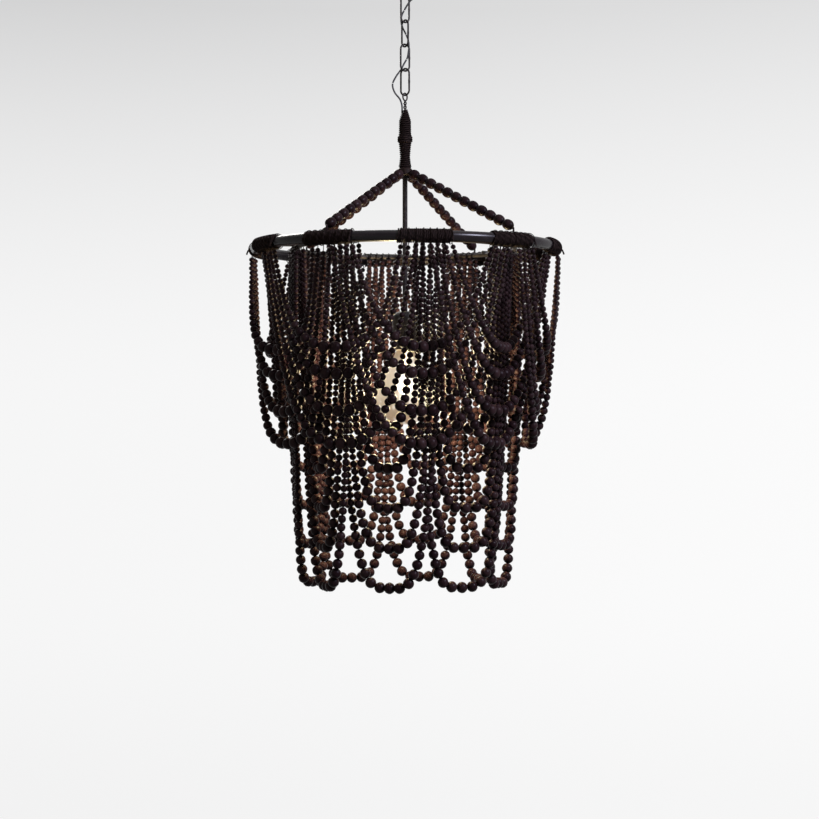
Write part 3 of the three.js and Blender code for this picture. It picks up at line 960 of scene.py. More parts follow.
@dataclass
class Workshop:
    """Hands out finishes, and sets each piece on its body."""

    finishes: Finishes
    frame: dict[str, Any]

    def fit(self, blank: Blank, name: str, body: Body, slot: Slot, *nodes: str) -> bpy.types.Object:
        """Makes a piece, gives it its finish and sets it on its body.

        Args:
            blank: The piece's mesh in the making.
            name: Its name.
            body: The body that it rides on.
            slot: The record's slot that its finish belongs to.
            nodes: The solids of the frame that it stands for.

        Returns:
            The piece.
        """
        piece = blank.make(name)
        self.dress(piece, slot)
        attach(piece, body.value)
        if nodes:
            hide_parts(*nodes)
        log.info("%s rides on %s: %d faces", name, body.value, len(piece.data.polygons))
        return piece

    def dress(self, piece: bpy.types.Object, slot: Slot) -> None:
        """Gives a piece its finish.

        Args:
            piece: The piece.
            slot: The record's slot of the finish.
        """
        piece.data.materials.clear()
        piece.data.materials.append(self.finishes.by_slot[slot])

    def keep(self, node: str, slot: Slot) -> None:
        """Leaves a solid of the frame as it is, with a better finish.

        Args:
            node: The solid's name.
            slot: The record's slot of the finish.
        """
        solid = self.frame["nodes"][node]
        if not solid.data.materials:
            solid.data.materials.append(None)
        solid.material_slots[0].material = self.finishes.by_slot[slot]
        log.info("%s keeps its solid", node)


def ring_path(radius: float, level: float, steps: int) -> np.ndarray:
    """The points of a level circle about the axis."""
    turn = angles(steps)
    return np.column_stack([radius * np.sin(turn), -radius * np.cos(turn), np.full(steps, level)])


def sleeve(bore: float, radius: float, foot: float, top: float) -> list[Pair]:
    """The profile of a plain sleeve, as pairs of radius and level."""
    return [(bore, foot), (radius, foot), (radius, top), (bore, top)]


def eased(corners: Sequence[Pair], reach: float) -> list[Pair]:
    """Cuts each corner of a profile by a small bevel, apart from points on the axis.

    Args:
        corners: Pairs of radius and level.
        reach: How far the bevel runs from each corner.

    Returns:
        The profile with two points for each corner.
    """
    pairs = [np.array(pair, dtype=float) for pair in corners]
    closed = all(pair[0] > 0 for pair in pairs)
    result: list[Pair] = []
    for i, pair in enumerate(pairs):
        if not closed and i in (0, len(pairs) - 1):
            result.append((float(pair[0]), float(pair[1])))
            continue
        for other in (pairs[i - 1], pairs[(i + 1) % len(pairs)]):
            way = other - pair
            length = float(np.linalg.norm(way))
            near = pair + way / length * min(reach, length / 3)
            result.append((float(near[0]), float(near[1])))
    return result


@dataclass
class Assembly:
    """A sub-assembly, whose pieces get their finish and body in the workshop."""

    shop: Workshop


# The ceiling fittings


@dataclass
class CeilingFittings(Assembly):
    """The canopy with its collar nut, the loop under it, and the fittings inside."""

    canopy_radius: float = 0.060
    lip: float = 0.0005
    depth: float = 0.030
    wall: float = 0.0012
    flat: float = 0.032
    hole: float = 0.0127
    seam: float = 0.004
    flex_place: float = 0.026
    collar_radius: float = 0.012
    collar_top: float = -0.021
    collar_bottom: float = -0.038
    collar_bevel: float = 0.0006
    neck: float = 0.004
    neck_flare: float = 0.002
    neck_round: Pair = (0.0004, 0.0024)
    wire: float = 0.0016
    ring: float = 0.009
    ring_bottom: float = -0.0615
    ring_sunk: float = 0.001
    ring_turn: float = -53.0
    bush_bore: float = 0.0019
    bush_body: float = 0.0027
    bush_flange: float = 0.0042
    bush_rim: float = 0.0015
    bush_below: float = -0.0303
    bush_above: float = -0.0285
    bush_bevel: float = 0.0003
    clearance: float = 0.0003
    nut_radius: float = 0.018
    nut_thickness: float = 0.005
    nut_bevel: float = 0.0009
    milling_turn: float = 7.5
    milling_ridge: float = 0.0006
    milling_span: Pair = (0.0042, 0.0008)

    def build(self) -> None:
        """Builds the fittings."""
        self.build_canopy()
        self.build_bush()
        self.build_nut()
        self.build_loop()
        self.shop.keep("crossbar", Slot.ZINC)
        self.shop.keep("canopy_stud", Slot.ZINC)
        self.shop.keep("terminal_block", Slot.PLASTIC)

    def dome(self, grow: float) -> list[Pair]:
        """One face of the canopy's sheet, from its flat crown to its lip.

        Args:
            grow: How far inside the outer face it lies.

        Returns:
            Pairs of radius and level.
        """
        turns = np.linspace(0.0, math.pi / 2, 24)
        reach = self.canopy_radius - self.flat - grow
        rise = self.depth - self.lip - grow
        return [(self.flat + reach * math.sin(t), -self.depth + grow + rise * (1 - math.cos(t))) for t in turns]

    def build_canopy(self) -> None:
        """Builds the canopy."""
        crown = [(self.hole, -self.depth), (self.hole + self.seam, -self.depth)]
        inner = [(self.hole + self.seam, self.wall - self.depth), (self.hole, self.wall - self.depth)]
        blank = Blank().turned([*crown, *self.dome(0.0), *reversed(self.dome(self.wall)), *inner], 128)
        self.shop.fit(blank, "canopy_dome", Body.CANOPY, Slot.IRON, "canopy")

    def build_bush(self) -> None:
        """Builds the bush that the flex passes."""
        foot = self.bush_below - self.bush_rim
        head = self.bush_above + self.bush_rim
        corners = [
            (self.bush_bore, foot), (self.bush_flange, foot),
            (self.bush_flange, self.bush_below), (self.bush_body, self.bush_below),
            (self.bush_body, self.bush_above), (self.bush_flange, self.bush_above),
            (self.bush_flange, head), (self.bush_bore, head),
        ]
        blank = Blank().turned(eased(corners, self.bush_bevel), 40, (self.flex_place, 0.0))
        self.shop.fit(blank, "flex_entry_bush", Body.CANOPY, Slot.PLASTIC, "flex_bush")

    def build_nut(self) -> None:
        """Builds the ring nut under the canopy, milled round its edge."""
        top = -self.depth - self.clearance
        corners = sleeve(self.collar_radius + self.clearance, self.nut_radius, top - self.nut_thickness, top)
        blank = Blank().turned(eased(corners, self.nut_bevel), 96)
        for azimuth in np.arange(0.0, 360.0, self.milling_turn):
            spot = outwards(azimuth) * (self.nut_radius - self.milling_ridge / 2)
            ridge = np.array([spot + UP * (top - drop) for drop in self.milling_span])
            blank.tube(ridge, self.milling_ridge, 6)
        self.shop.fit(blank, "milled_ring_nut", Body.CANOPY, Slot.IRON, "collar_nut")

    def build_loop(self) -> None:
        """Builds the collar and the ring that carries the chain."""
        centre = self.ring_bottom + self.ring
        top, foot, ease = self.collar_top, self.collar_bottom, self.collar_bevel
        profile = [
            (0.0, centre + self.ring - self.ring_sunk), (self.neck, centre + self.ring),
            (self.neck, foot - self.neck_round[1]), (self.neck + self.neck_flare, foot - self.neck_round[0]),
            (self.collar_radius - 2 * ease, foot),
            (self.collar_radius, foot + 2 * ease), (self.collar_radius, top - ease),
            (self.collar_radius - ease, top), (0.0, top),
        ]
        blank = Blank().turned(profile, 64)
        turn = np.linspace(0.0, FULL_TURN, 64, endpoint=False)
        across = rightwards(self.ring_turn)
        path = np.outer(self.ring * np.sin(turn), across) + np.outer(self.ring * np.cos(turn) + centre, UP)
        blank.tube(path, self.wire, 16, closed=True, across=np.tile(outwards(self.ring_turn), (64, 1)))
        self.shop.fit(blank, "chain_loop", Body.CEILING, Slot.IRON, "canopy_loop")


# The chain, the flex and the hook


@dataclass
class Chain(Assembly):
    """Four long links, each turned across the one above it."""

    wire: float = 0.0014
    width: float = 0.018
    pitch: float = 0.0366
    step: float = 0.0034
    first_top: float = -0.0582
    turns: tuple[float, ...] = (37.0, -52.0, 32.0, -35.0)
    weld: float = 0.0003
    weld_place: float = 6.5
    weld_reach: float = 1.1

    def build(self) -> None:
        """Builds the links."""
        bodies = (Body.LINK_1, Body.LINK_2, Body.LINK_3, Body.LINK_4)
        for i, (turn, body) in enumerate(zip(self.turns, bodies)):
            path = self.path(self.first_top - i * self.pitch, turn)
            across = np.tile(outwards(turn), (len(path), 1))
            blank = Blank().tube(path, self.swell(len(path)), 14, closed=True, across=across)
            self.shop.fit(blank, f"welded_link_{i + 1}", body, Slot.IRON, f"chain_link_{i + 1}")

    def path(self, top: float, turn: float) -> np.ndarray:
        """The centreline of one link.

        Args:
            top: The level of its top.
            turn: The azimuth that its plane is turned to.

        Returns:
            The points, the first in the middle of a straight side.
        """
        bend = self.width / 2 - self.wire
        bottom = top - self.pitch - self.step
        high, low = top - bend, bottom + bend
        arc = np.linspace(0.0, math.pi, 25)
        straight = np.linspace(high, low, 14)[1:-1]
        upper = np.column_stack([bend * np.cos(arc), high + bend * np.sin(arc)])
        left = np.column_stack([np.full(len(straight), -bend), straight])
        lower = np.column_stack([-bend * np.cos(arc), low - bend * np.sin(arc)])
        right = np.column_stack([np.full(len(straight), bend), straight[::-1]])
        flat = np.concatenate([upper, left, lower, right])
        return np.outer(flat[:, 0], rightwards(turn)) + np.outer(flat[:, 1], UP)

    def swell(self, count: int) -> np.ndarray:
        """The wire's radius at each point round a link, with the weld's bead on one side."""
        place = np.arange(count) - (count - self.weld_place)
        return self.wire + self.weld * np.exp(-((place / self.weld_reach) ** 2))


@dataclass
class SupplyFlex(Assembly):
    """The flex, woven down through the links, in lengths, each round one joint."""

    radius: float = 0.0013
    route: tuple[Triple, ...] = (
        (26, 0, -12.1),
        (26, 0, -30),
        (26, 0, -48),
        (19.5, -0.4, -57.5),
        (9.5, -0.9, -64.5),
        (4.6, -0.7, -70.5),
        (0, 0, -78),
        (-4.6, 0.6, -87),
        (-5.9, 0.8, -96.4),
        (-3.6, 0.5, -106),
        (0.5, -0.6, -114.6),
        (4.4, -0.8, -123.5),
        (5.9, -1, -133),
        (5.2, 0.8, -142),
        (3.4, 2.1, -151.2),
        (-1.6, 1.6, -160.5),
        (-6.3, 0.2, -169.6),
        (-13.5, -1, -180),
        (-18.7, -1.5, -192),
        (-15.5, -1.6, -204),
        (-7.8, -1.4, -214),
        (-4.6, -0.4, -224),
        (-4.5, 0, -235.5),
    )
    joints: tuple[float, ...] = (-0.0615, -0.0982, -0.1348, -0.1714, -0.2080)
    half_bend: float = 0.010

    def build(self) -> None:
        """Builds the lengths of flex."""
        whole = self.smooth()
        middles = [(a + b) / 2 for a, b in zip(self.joints, self.joints[1:])]
        limits = [whole[0][2], *middles, whole[-1][2]]
        for i, joint in enumerate(self.joints):
            here = (whole[:, 2] <= limits[i] + 1e-9) & (whole[:, 2] >= limits[i + 1] - 1e-9)
            path = whole[here]
            piece = Blank().tube(path, self.radius, 12).make(f"woven_flex_{i + 1}")
            self.shop.dress(piece, Slot.FLEX)
            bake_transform(piece)
            if i == 0:
                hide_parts("supply_flex")
            self.declare(piece, path)

    def declare(self, piece: bpy.types.Object, path: np.ndarray) -> None:
        """Does nothing with a length of flex.

        Args:
            piece: The length of flex; not used.
            path: Its centreline; not used.
        """

    def smooth(self) -> np.ndarray:
        """The route as one smooth curve.

        Returns:
            Points about a millimetre apart, from the terminal block down.
        """
        knots = np.array(self.route) / 1000
        ends = np.vstack([2 * knots[0] - knots[1], knots, 2 * knots[-1] - knots[-2]])
        pieces = []
        for i in range(len(knots) - 1):
            before, first, second, after = ends[i : i + 4]
            t = np.linspace(0.0, 1.0, 10, endpoint=False)[:, None]
            pieces.append(
                0.5
                * (
                    2 * first
                    + (second - before) * t
                    + (2 * before - 5 * first + 4 * second - after) * t**2
                    + (3 * first - before - 3 * second + after) * t**3
                )
            )
        return np.vstack([*pieces, knots[-1:]])


@dataclass
class StemHook(Assembly):
    """One wire, bent to an eye, whose legs are twisted together down into the stem."""

    wire: float = 0.0012
    eye: float = 0.0055
    twist: float = 0.0015
    lay: float = 0.012
    eye_centre: float = -0.2106
    core_top: float = STEM_TOP
    in_core: float = 0.010
    turn: float = 55.0

    def build(self) -> None:
        """Builds the hook."""
        across = rightwards(self.turn)
        level = outwards(self.turn)
        opening = math.asin(self.twist / self.eye)
        leg_top = self.eye_centre - self.eye * math.cos(opening)
        length = leg_top - (self.core_top - self.in_core)
        share = np.linspace(1.0, 0.0, 90, endpoint=False)
        angle = share * (length / self.lay) * FULL_TURN

        def leg(start: float) -> np.ndarray:
            """One leg from its foot up.

            Args:
                start: The angle that it starts at.

            Returns:
                The points.
            """
            turns = start + angle
            round_axis = np.outer(np.cos(turns), across) + np.outer(np.sin(turns), -level)
            return self.twist * round_axis + np.outer(leg_top - share * length, UP)

        turns = np.linspace(opening, FULL_TURN - opening, 48)
        eye = np.outer(self.eye * np.sin(turns), across) + np.outer(self.eye_centre - self.eye * np.cos(turns), UP)
        blank = Blank().tube(np.concatenate([leg(0.0), eye, leg(math.pi)[::-1]]), self.wire, 10)
        self.shop.fit(blank, "twisted_wire_hook", Body.LAMP, Slot.IRON, "stem_hook")


# The stem and the hub


@dataclass
class Stem(Assembly):
    """A turned core, wound with cord from a point at its top, over a knot, to the hub."""

    top: float = STEM_TOP
    length: float = 0.081
    cord: float = 0.00125
    turns: int = 29
    core_shares: tuple[float, ...] = (0.0, 0.14, 0.36, 0.47, 0.6, 0.8, 0.93, 1.0)
    core_radii: tuple[float, ...] = (0.0044, 0.0056, 0.0056, 0.0074, 0.0046, 0.0046, 0.0068, 0.009)
    skin_shares: tuple[float, ...] = (-0.07, 0.13, 0.36, 0.47, 0.6, 0.8, 0.93, 1.0)
    skin_radii: tuple[float, ...] = (0.0030, 0.0080, 0.0082, 0.0097, 0.0079, 0.0066, 0.0078, 0.0092)
    turn_steps: int = 24
    foot_gap_share: float = 0.015
    knot_turns: tuple[Pair, ...] = ((0.35, 0.44), (-0.3, 0.48), (0.12, 0.51))
    knot_radius: float = 0.0100
    knot_cord: float = 1.15

    def build(self) -> None:
        """Builds the core and the cord on it."""
        levels = [self.top - share * self.length for share in self.core_shares]
        profile = [(0.0, levels[-1]), *reversed(list(zip(self.core_radii, levels))), (0.0, levels[0])]
        self.shop.fit(Blank().turned(profile, 48), "turned_stem_core", Body.LAMP, Slot.TURNED, "stem_core")
        self.build_winding()

    def build_winding(self) -> None:
        """Builds the cord: one winding down the stem and the loose turns of the knot."""
        steps = self.turns * self.turn_steps
        share = np.linspace(self.skin_shares[0], self.skin_shares[-1] - self.foot_gap_share, steps)
        reach = np.interp(share, self.skin_shares, self.skin_radii)
        turn = np.arange(steps) * FULL_TURN / self.turn_steps
        spread = np.column_stack([np.cos(turn), np.sin(turn), np.zeros(steps)])
        path = reach[:, None] * spread + np.outer(self.top - share * self.length, UP)
        blank = Blank().tube(path, self.cord, 8, across=spread)
        for tilt, share_down in self.knot_turns:
            blank.tube(self.knot_turn(tilt, share_down), self.cord * self.knot_cord, 8, closed=True)
        self.shop.fit(blank, "stem_cord_winding", Body.LAMP, Slot.CORD, "stem_wrap")

    def knot_turn(self, tilt: float, share: float) -> np.ndarray:
        """One slanted turn of the knot.

        Args:
            tilt: How far it slants.
            share: How far down the stem it lies.

        Returns:
            The points.
        """
        turn = np.linspace(0.0, FULL_TURN, 40, endpoint=False)
        radius = self.knot_radius
        level = self.top - share * self.length
        return np.column_stack([radius * np.cos(turn), radius * np.sin(turn), level + tilt * radius * np.sin(turn)])


@dataclass
class Hub(Assembly):
    """The turned hub, its nut, and the tube that runs down from it to the lampholder."""

    radius: float = 0.0105
    bore: float = TUBE_BORE
    top: float = -0.3174
    thickness: float = 0.012
    bevel: float = 0.002
    clearance: float = 0.0003
    nut_radius: float = 0.007
    nut_thickness: float = 0.004
    tube_radius: float = 0.00375
    tube_top: float = -0.3071
    tube_length: float = 0.233

    def build(self) -> None:
        """Builds the hub, the nut and the tube."""
        bottom = self.top - self.thickness
        blank = Blank().turned(eased(sleeve(self.bore, self.radius, bottom, self.top), self.bevel), 64)
        self.shop.fit(blank, "turned_hub", Body.LAMP, Slot.TURNED, "hub")
        nut_top = bottom - self.clearance
        nut = Blank().turned(sleeve(self.bore, self.nut_radius, nut_top - self.nut_thickness, nut_top), 6)
        self.shop.fit(nut, "hexagon_nut", Body.LAMP, Slot.IRON, "hub_nut")
        foot = self.tube_top - self.tube_length
        tube = Blank().turned(sleeve(self.tube_radius / 2, self.tube_radius, foot, self.tube_top), 32)
        self.shop.fit(tube, "lamp_down_tube", Body.LAMP, Slot.IRON, "down_tube")


# The hoop and the ring


@dataclass
class Hoop(Assembly):
    """The lacquered hoop, with ten windings of cord where strands and arms are tied."""

    radius: float = HOOP_RADIUS
    tube: float = 0.008
    level: float = HOOP_LEVEL
    count: int = 10
    first: float = -29.0
    cover: float = 19.5
    turns: int = 30
    turn_steps: int = 20
    cord: float = 0.00122
    seat: float = 0.98
    lump: Pair = (-0.0001, 0.0003)
    drift: float = 0.15
    tail: float = 0.010
    tail_lengths: Pair = (0.7, 1.0)
    tail_reach: Pair = (0.62, -0.1)
    tail_drop: Pair = (0.25, 0.65)

    def azimuth(self, place: int) -> float:
        """The azimuth of a winding, counted from zero."""
        return self.first + place * 360 / self.count

    def build(self) -> None:
        """Builds the hoop and its windings."""
        blank = Blank().tube(ring_path(self.radius, self.level, 240), self.tube, 28, closed=True)
        self.shop.fit(blank, "lacquered_hoop", Body.LAMP, Slot.TUBE, "hoop")
        for place in range(self.count):
            winding = Blank()
            self.wind(winding, place)
            self.shop.fit(winding, f"hoop_winding_{place + 1}", Body.LAMP, Slot.CORD, f"hoop_wrap_{place + 1}")

    def wind(self, blank: Blank, place: int) -> None:
        """Adds one winding, with the cut end of its cord.

        Args:
            blank: The mesh in the making.
            place: Which winding it is, from zero.
        """
        dice = np.random.default_rng(40 + place)
        steps = self.turns * self.turn_steps
        share = np.linspace(0.0, 1.0, steps)
        turn = share * self.turns * FULL_TURN
        lumps = np.interp(share, np.linspace(0, 1, 9), dice.uniform(*self.lump, 9))
        drift = np.interp(share, np.linspace(0, 1, 12), dice.uniform(-self.drift, self.drift, 12))
        azimuths = self.azimuth(place) + (share - 0.5) * self.cover + drift
        reach = self.tube + self.cord * self.seat + lumps
        level = np.array([outwards(a) for a in azimuths])
        spread = np.cos(turn)[:, None] * level - np.sin(turn)[:, None] * UP
        path = level * self.radius + UP * self.level + reach[:, None] * spread
        blank.tube(path, self.cord, 6, across=spread)
        self.leave_tail(blank, path[-1], level[-1], dice)

    def leave_tail(self, blank: Blank, end: np.ndarray, out: np.ndarray, dice: np.random.Generator) -> None:
        """Adds the cut end of the cord, which sticks out under the hoop.

        Args:
            blank: The mesh in the making.
            end: Where the winding ends.
            out: The level direction away from the axis there.
            dice: Where its length comes from.
        """
        share = np.linspace(0.0, 1.0, 8)
        length = self.tail * dice.uniform(*self.tail_lengths)
        reach = length * (self.tail_reach[0] * share + self.tail_reach[1] * share**2)
        drop = length * (self.tail_drop[0] * share + self.tail_drop[1] * share**2)
        blank.tube(end + np.outer(reach, out) - np.outer(drop, UP), self.cord, 6)


@dataclass
class InnerRing(Assembly):
    """The black ring inside the hoop, and the struts that tie it there."""

    radius: float = RING_RADIUS
    rod: float = 0.003
    level: float = HOOP_LEVEL
    struts: int = 5
    strut_rod: float = 0.0025
    first: float = -11.0
    reach: float = 0.2157
    overlap: float = 0.002

    def build(self) -> None:
        """Builds the ring and its struts."""
        blank = Blank().tube(ring_path(self.radius, self.level, 180), self.rod, 12, closed=True)
        for i in range(self.struts):
            way = outwards(self.first + i * 360 / self.struts)
            height = UP * (self.level + self.rod + self.strut_rod / 2)
            ends = np.linspace(self.radius - self.overlap, self.reach, 6)
            blank.tube(np.array([way * end + height for end in ends]), self.strut_rod, 12)
        self.shop.fit(blank, "ring_with_struts", Body.LAMP, Slot.IRON, "inner_ring")


@dataclass
class Arms(Assembly):
    """Four wires with oval beads, from the hub's sockets to the tops of four windings."""

    places: dict[str, int] = field(
        default_factory=lambda: {"front_left": 0, "front_right": 2, "rear_right": 5, "rear_left": 7}
    )
    wire: float = 0.0016
    wire_share: float = 0.9
    wire_tone: float = 0.1
    beads: int = 12
    bead_spread: Pair = (0.96, 1.0)
    bead_radius: float = 0.008
    start: float = 0.007
    start_level: float = -0.3234
    first_bead: float = 0.021
    last_bead: float = 0.2165
    last_level: float = -0.4176
    tip_level: float = -0.4290
    tip_reach: float = 0.0016
    bend: Pair = (0.0012, 0.0008)
    touch: float = 0.985

    def build(self, hoop: Hoop) -> None:
        """Builds the arms.

        Args:
            hoop: The hoop that they carry.
        """
        for seed, (name, place) in enumerate(self.places.items()):
            dice = np.random.default_rng(70 + seed)
            out = outwards(hoop.azimuth(place))
            blank = Blank()
            distances = np.linspace(self.first_bead, self.last_bead, self.beads)
            centres = np.array([self.on_line(out, distance) for distance in distances])
            way = unit(centres[-1] - centres[0])
            pitch = float(np.linalg.norm(centres[1] - centres[0]))
            radii = self.bead_radius * dice.uniform(*self.bead_spread, self.beads)
            halves = np.full(self.beads, pitch / 2 * self.touch)
            blank.beads(centres, np.tile(way, (self.beads, 1)), radii, halves, dice, 24, 14)
            over = self.on_line(out, self.last_bead + pitch / 2)
            tip = np.array([over[0], over[1], 0.0]) + out * self.tip_reach + UP * self.tip_level
            bend = over + out * self.bend[0] - UP * self.bend[1]
            path = np.array([self.on_line(out, self.start), over, bend, tip])
            blank.tube(path, self.wire * self.wire_share, 10, tone=self.wire_tone)
            self.shop.fit(blank, f"beaded_arm_{name}", Body.LAMP, Slot.BEADS, f"arm_{name}")

    def on_line(self, out: np.ndarray, distance: float) -> np.ndarray:
        """A point on an arm's straight line.

        Args:
            out: The level direction of the arm.
            distance: How far from the axis.

        Returns:
            The point.
        """
        level = np.interp(distance, [self.start, self.last_bead], [self.start_level, self.last_level])
        beyond = max(distance - self.last_bead, 0.0) * (self.last_level - self.start_level)
        return out * distance + UP * (level + beyond / (self.last_bead - self.start))


# The strands


@dataclass(frozen=True)
class Row:
    """One strand of each set: half its spread in degrees, its drop, and its bow, in metres."""

    half_angle: float
    drop: float
    bow: float


@dataclass(frozen=True)
class Tier:
    """The sets of strands that hang from one ring."""

    name: str
    sets: int
    first: float
    radius: float
    offset: float
    outward: float
    round_power: float
    height_shares: tuple[float, ...]
    bead_radii: tuple[float, ...]
    end_level: float
    tie_radius: float
    rows: tuple[Row, ...]
    ring_level: float = HOOP_LEVEL


UPPER = Tier(
    name="upper",
    sets=10,
    first=7.0,
    radius=HOOP_RADIUS,
    offset=-0.007,
    outward=0.005,
    round_power=2.6,
    height_shares=(0.0, 0.1, 0.28, 0.5, 1.0),
    bead_radii=(0.0090, 0.0074, 0.0054, 0.0046, 0.0037),
    end_level=-0.4490,
    tie_radius=0.0112,
    rows=(
        Row(27.0, 0.1548, -0.0140),
        Row(29.6, 0.1927, -0.0099),
        Row(32.2, 0.2453, -0.0060),
        Row(34.8, 0.2920, -0.0099),
    ),
)
LOWER = Tier(
    name="lower",
    sets=8,
    first=-9.0,
    radius=RING_RADIUS,
    offset=0.006,
    outward=-0.004,
    round_power=4.0,
    height_shares=(0.0, 0.1, 0.21, 0.3, 0.45, 1.0),
    bead_radii=(0.0086, 0.0076, 0.0064, 0.0053, 0.0046, 0.0038),
    end_level=HOOP_LEVEL,
    tie_radius=0.0040,
    rows=(
        Row(15.0, 0.270, 0.006),
        Row(18.8, 0.328, 0.006),
        Row(22.4, 0.385, 0.006),
        Row(26.0, 0.443, 0.006),
        Row(29.5, 0.500, 0.006),
    ),
)


class Strand:
    """One hanging strand, and the places of its beads."""

    STEPS = 1200
    END_GAP = 0.0015
    CLOSENESS = 0.925

    def __init__(self, tier: Tier, row: Row, azimuth: float) -> None:
        """Works out the curve.

        Args:
            tier: The tier that it belongs to.
            row: Its row.
            azimuth: The middle of its set.
        """
        self.tier = tier
        self.row = row
        self.azimuth = azimuth
        self.span = tier.radius * math.sin(math.radians(row.half_angle))
        self.plane = tier.radius * math.cos(math.radians(row.half_angle))
        self.depth = row.drop - (tier.ring_level - tier.end_level)
        self.shares = np.linspace(-1.0, 1.0, self.STEPS + 1)
        steps = np.linalg.norm(np.diff(self.on_curve(self.shares), axis=0), axis=1)
        run = np.concatenate([[0.0], np.cumsum(steps)])
        self.lengths = run - run[self.STEPS // 2]
        self.half_length = float(min(-self.lengths[0], self.lengths[-1]))

    def on_curve(self, shares: np.ndarray) -> np.ndarray:
        """The points at shares of the half span from the middle.

        Large beads can't bend sharply, so the sides hang straighter and the foot is rounder than a bare
        thread's: the height grows as a power of the distance from the middle.

        Args:
            shares: From -1 at the left end to 1 at the right end.

        Returns:
            The points.
        """
        tier = self.tier
        level = tier.end_level - self.depth * (1 - np.abs(shares) ** tier.round_power)
        swell = self.row.bow * np.sin(math.pi * shares) + tier.outward * np.cos(math.pi * shares / 2)
        out = self.plane + tier.offset * shares + swell
        across = shares * self.span
        return np.outer(out, outwards(self.azimuth)) + np.outer(across, rightwards(self.azimuth)) + np.outer(level, UP)

    def at(self, lengths: np.ndarray) -> np.ndarray:
        """The points at lengths along the strand from its lowest point, negative to the left."""
        return self.on_curve(np.interp(lengths, self.lengths, self.shares))

    def bead_radius(self, length: float) -> float:
        """The radius of the bead at a length from the lowest point."""
        share = float(np.interp(length, self.lengths, self.shares))
        return float(np.interp(abs(share) ** self.tier.round_power, self.tier.height_shares, self.tier.bead_radii))

    def bead_places(self) -> tuple[np.ndarray, np.ndarray]:
        """Threads beads from the middle out, each touching the next.

        Returns:
            The lengths of their centres, and their radii.
        """
        side: list[float] = []
        sizes: list[float] = []
        length, radius = 0.0, self.bead_radius(0.0)
        while length + radius < self.half_length - self.END_GAP:
            side.append(length)
            sizes.append(radius)
            ahead = self.bead_radius(length + 2 * radius)
            length, radius = length + (radius + ahead) * self.CLOSENESS, ahead
        lengths = np.array([-value for value in side[:0:-1]] + side)
        return lengths, np.array(sizes[:0:-1] + sizes)


@dataclass
class Swags(Assembly):
    """All the sets of one tier."""

    tier: Tier
    thread: float = 0.0006
    size_spread: Pair = (0.955, 1.0)
    length_share: float = 0.93
    length_spread: Pair = (0.96, 1.0)
    sway: float = 0.00022
    tilt: float = 0.05
    near: float = 0.0005

    def build(self) -> None:
        """Builds the sets."""
        for number in range(1, self.tier.sets + 1):
            dice = np.random.default_rng(1000 * self.tier.sets + number)
            azimuth = self.tier.first + (number - 1) * 360 / self.tier.sets
            beads, threads = Blank(), Blank()
            for row in self.tier.rows:
                strand = Strand(self.tier, row, azimuth)
                self.string(beads, strand, dice)
                self.tie(threads, strand)
            name = self.tier.name
            self.shop.fit(beads, f"{name}_bead_set_{number}", Body.LAMP, Slot.BEADS, f"{name}_swags_{number}")
            self.shop.fit(threads, f"{name}_threads_{number}", Body.LAMP, Slot.CORD)

    def string(self, blank: Blank, strand: Strand, dice: np.random.Generator) -> None:
        """Threads one strand's beads.

        Args:
            blank: The mesh in the making.
            strand: The strand.
            dice: Where small differences come from.
        """
        lengths, radii = strand.bead_places()
        centres = strand.at(lengths)
        axes = unit(strand.at(lengths + self.near) - strand.at(lengths - self.near))
        sizes = radii * dice.uniform(*self.size_spread, len(radii))
        halves = radii * self.length_share * dice.uniform(*self.length_spread, len(radii))
        shift = dice.normal(0.0, self.sway, centres.shape)
        tilted = unit(axes + dice.normal(0.0, self.tilt, axes.shape))
        blank.beads(centres + shift, tilted, sizes, halves, dice)

    def tie(self, blank: Blank, strand: Strand) -> None:
        """Adds the strand's thread and the ties at its ends.

        Args:
            blank: The mesh in the making.
            strand: The strand.
        """
        lengths = np.linspace(-strand.half_length, strand.half_length, 90)
        path = strand.at(lengths)
        blank.tube(path, self.thread, 5)
        for end in (path[0], path[-1]):
            azimuth = math.degrees(math.atan2(end[0], -end[1]))
            out = outwards(azimuth)
            middle = out * self.tier.radius + UP * self.tier.ring_level
            turn = np.linspace(0.0, FULL_TURN, 36, endpoint=False)
            spread = np.outer(np.cos(turn), out) + np.outer(np.sin(turn), UP)
            blank.tube(middle + self.tier.tie_radius * spread, self.thread, 5, closed=True)


# The lampholder and the bulb


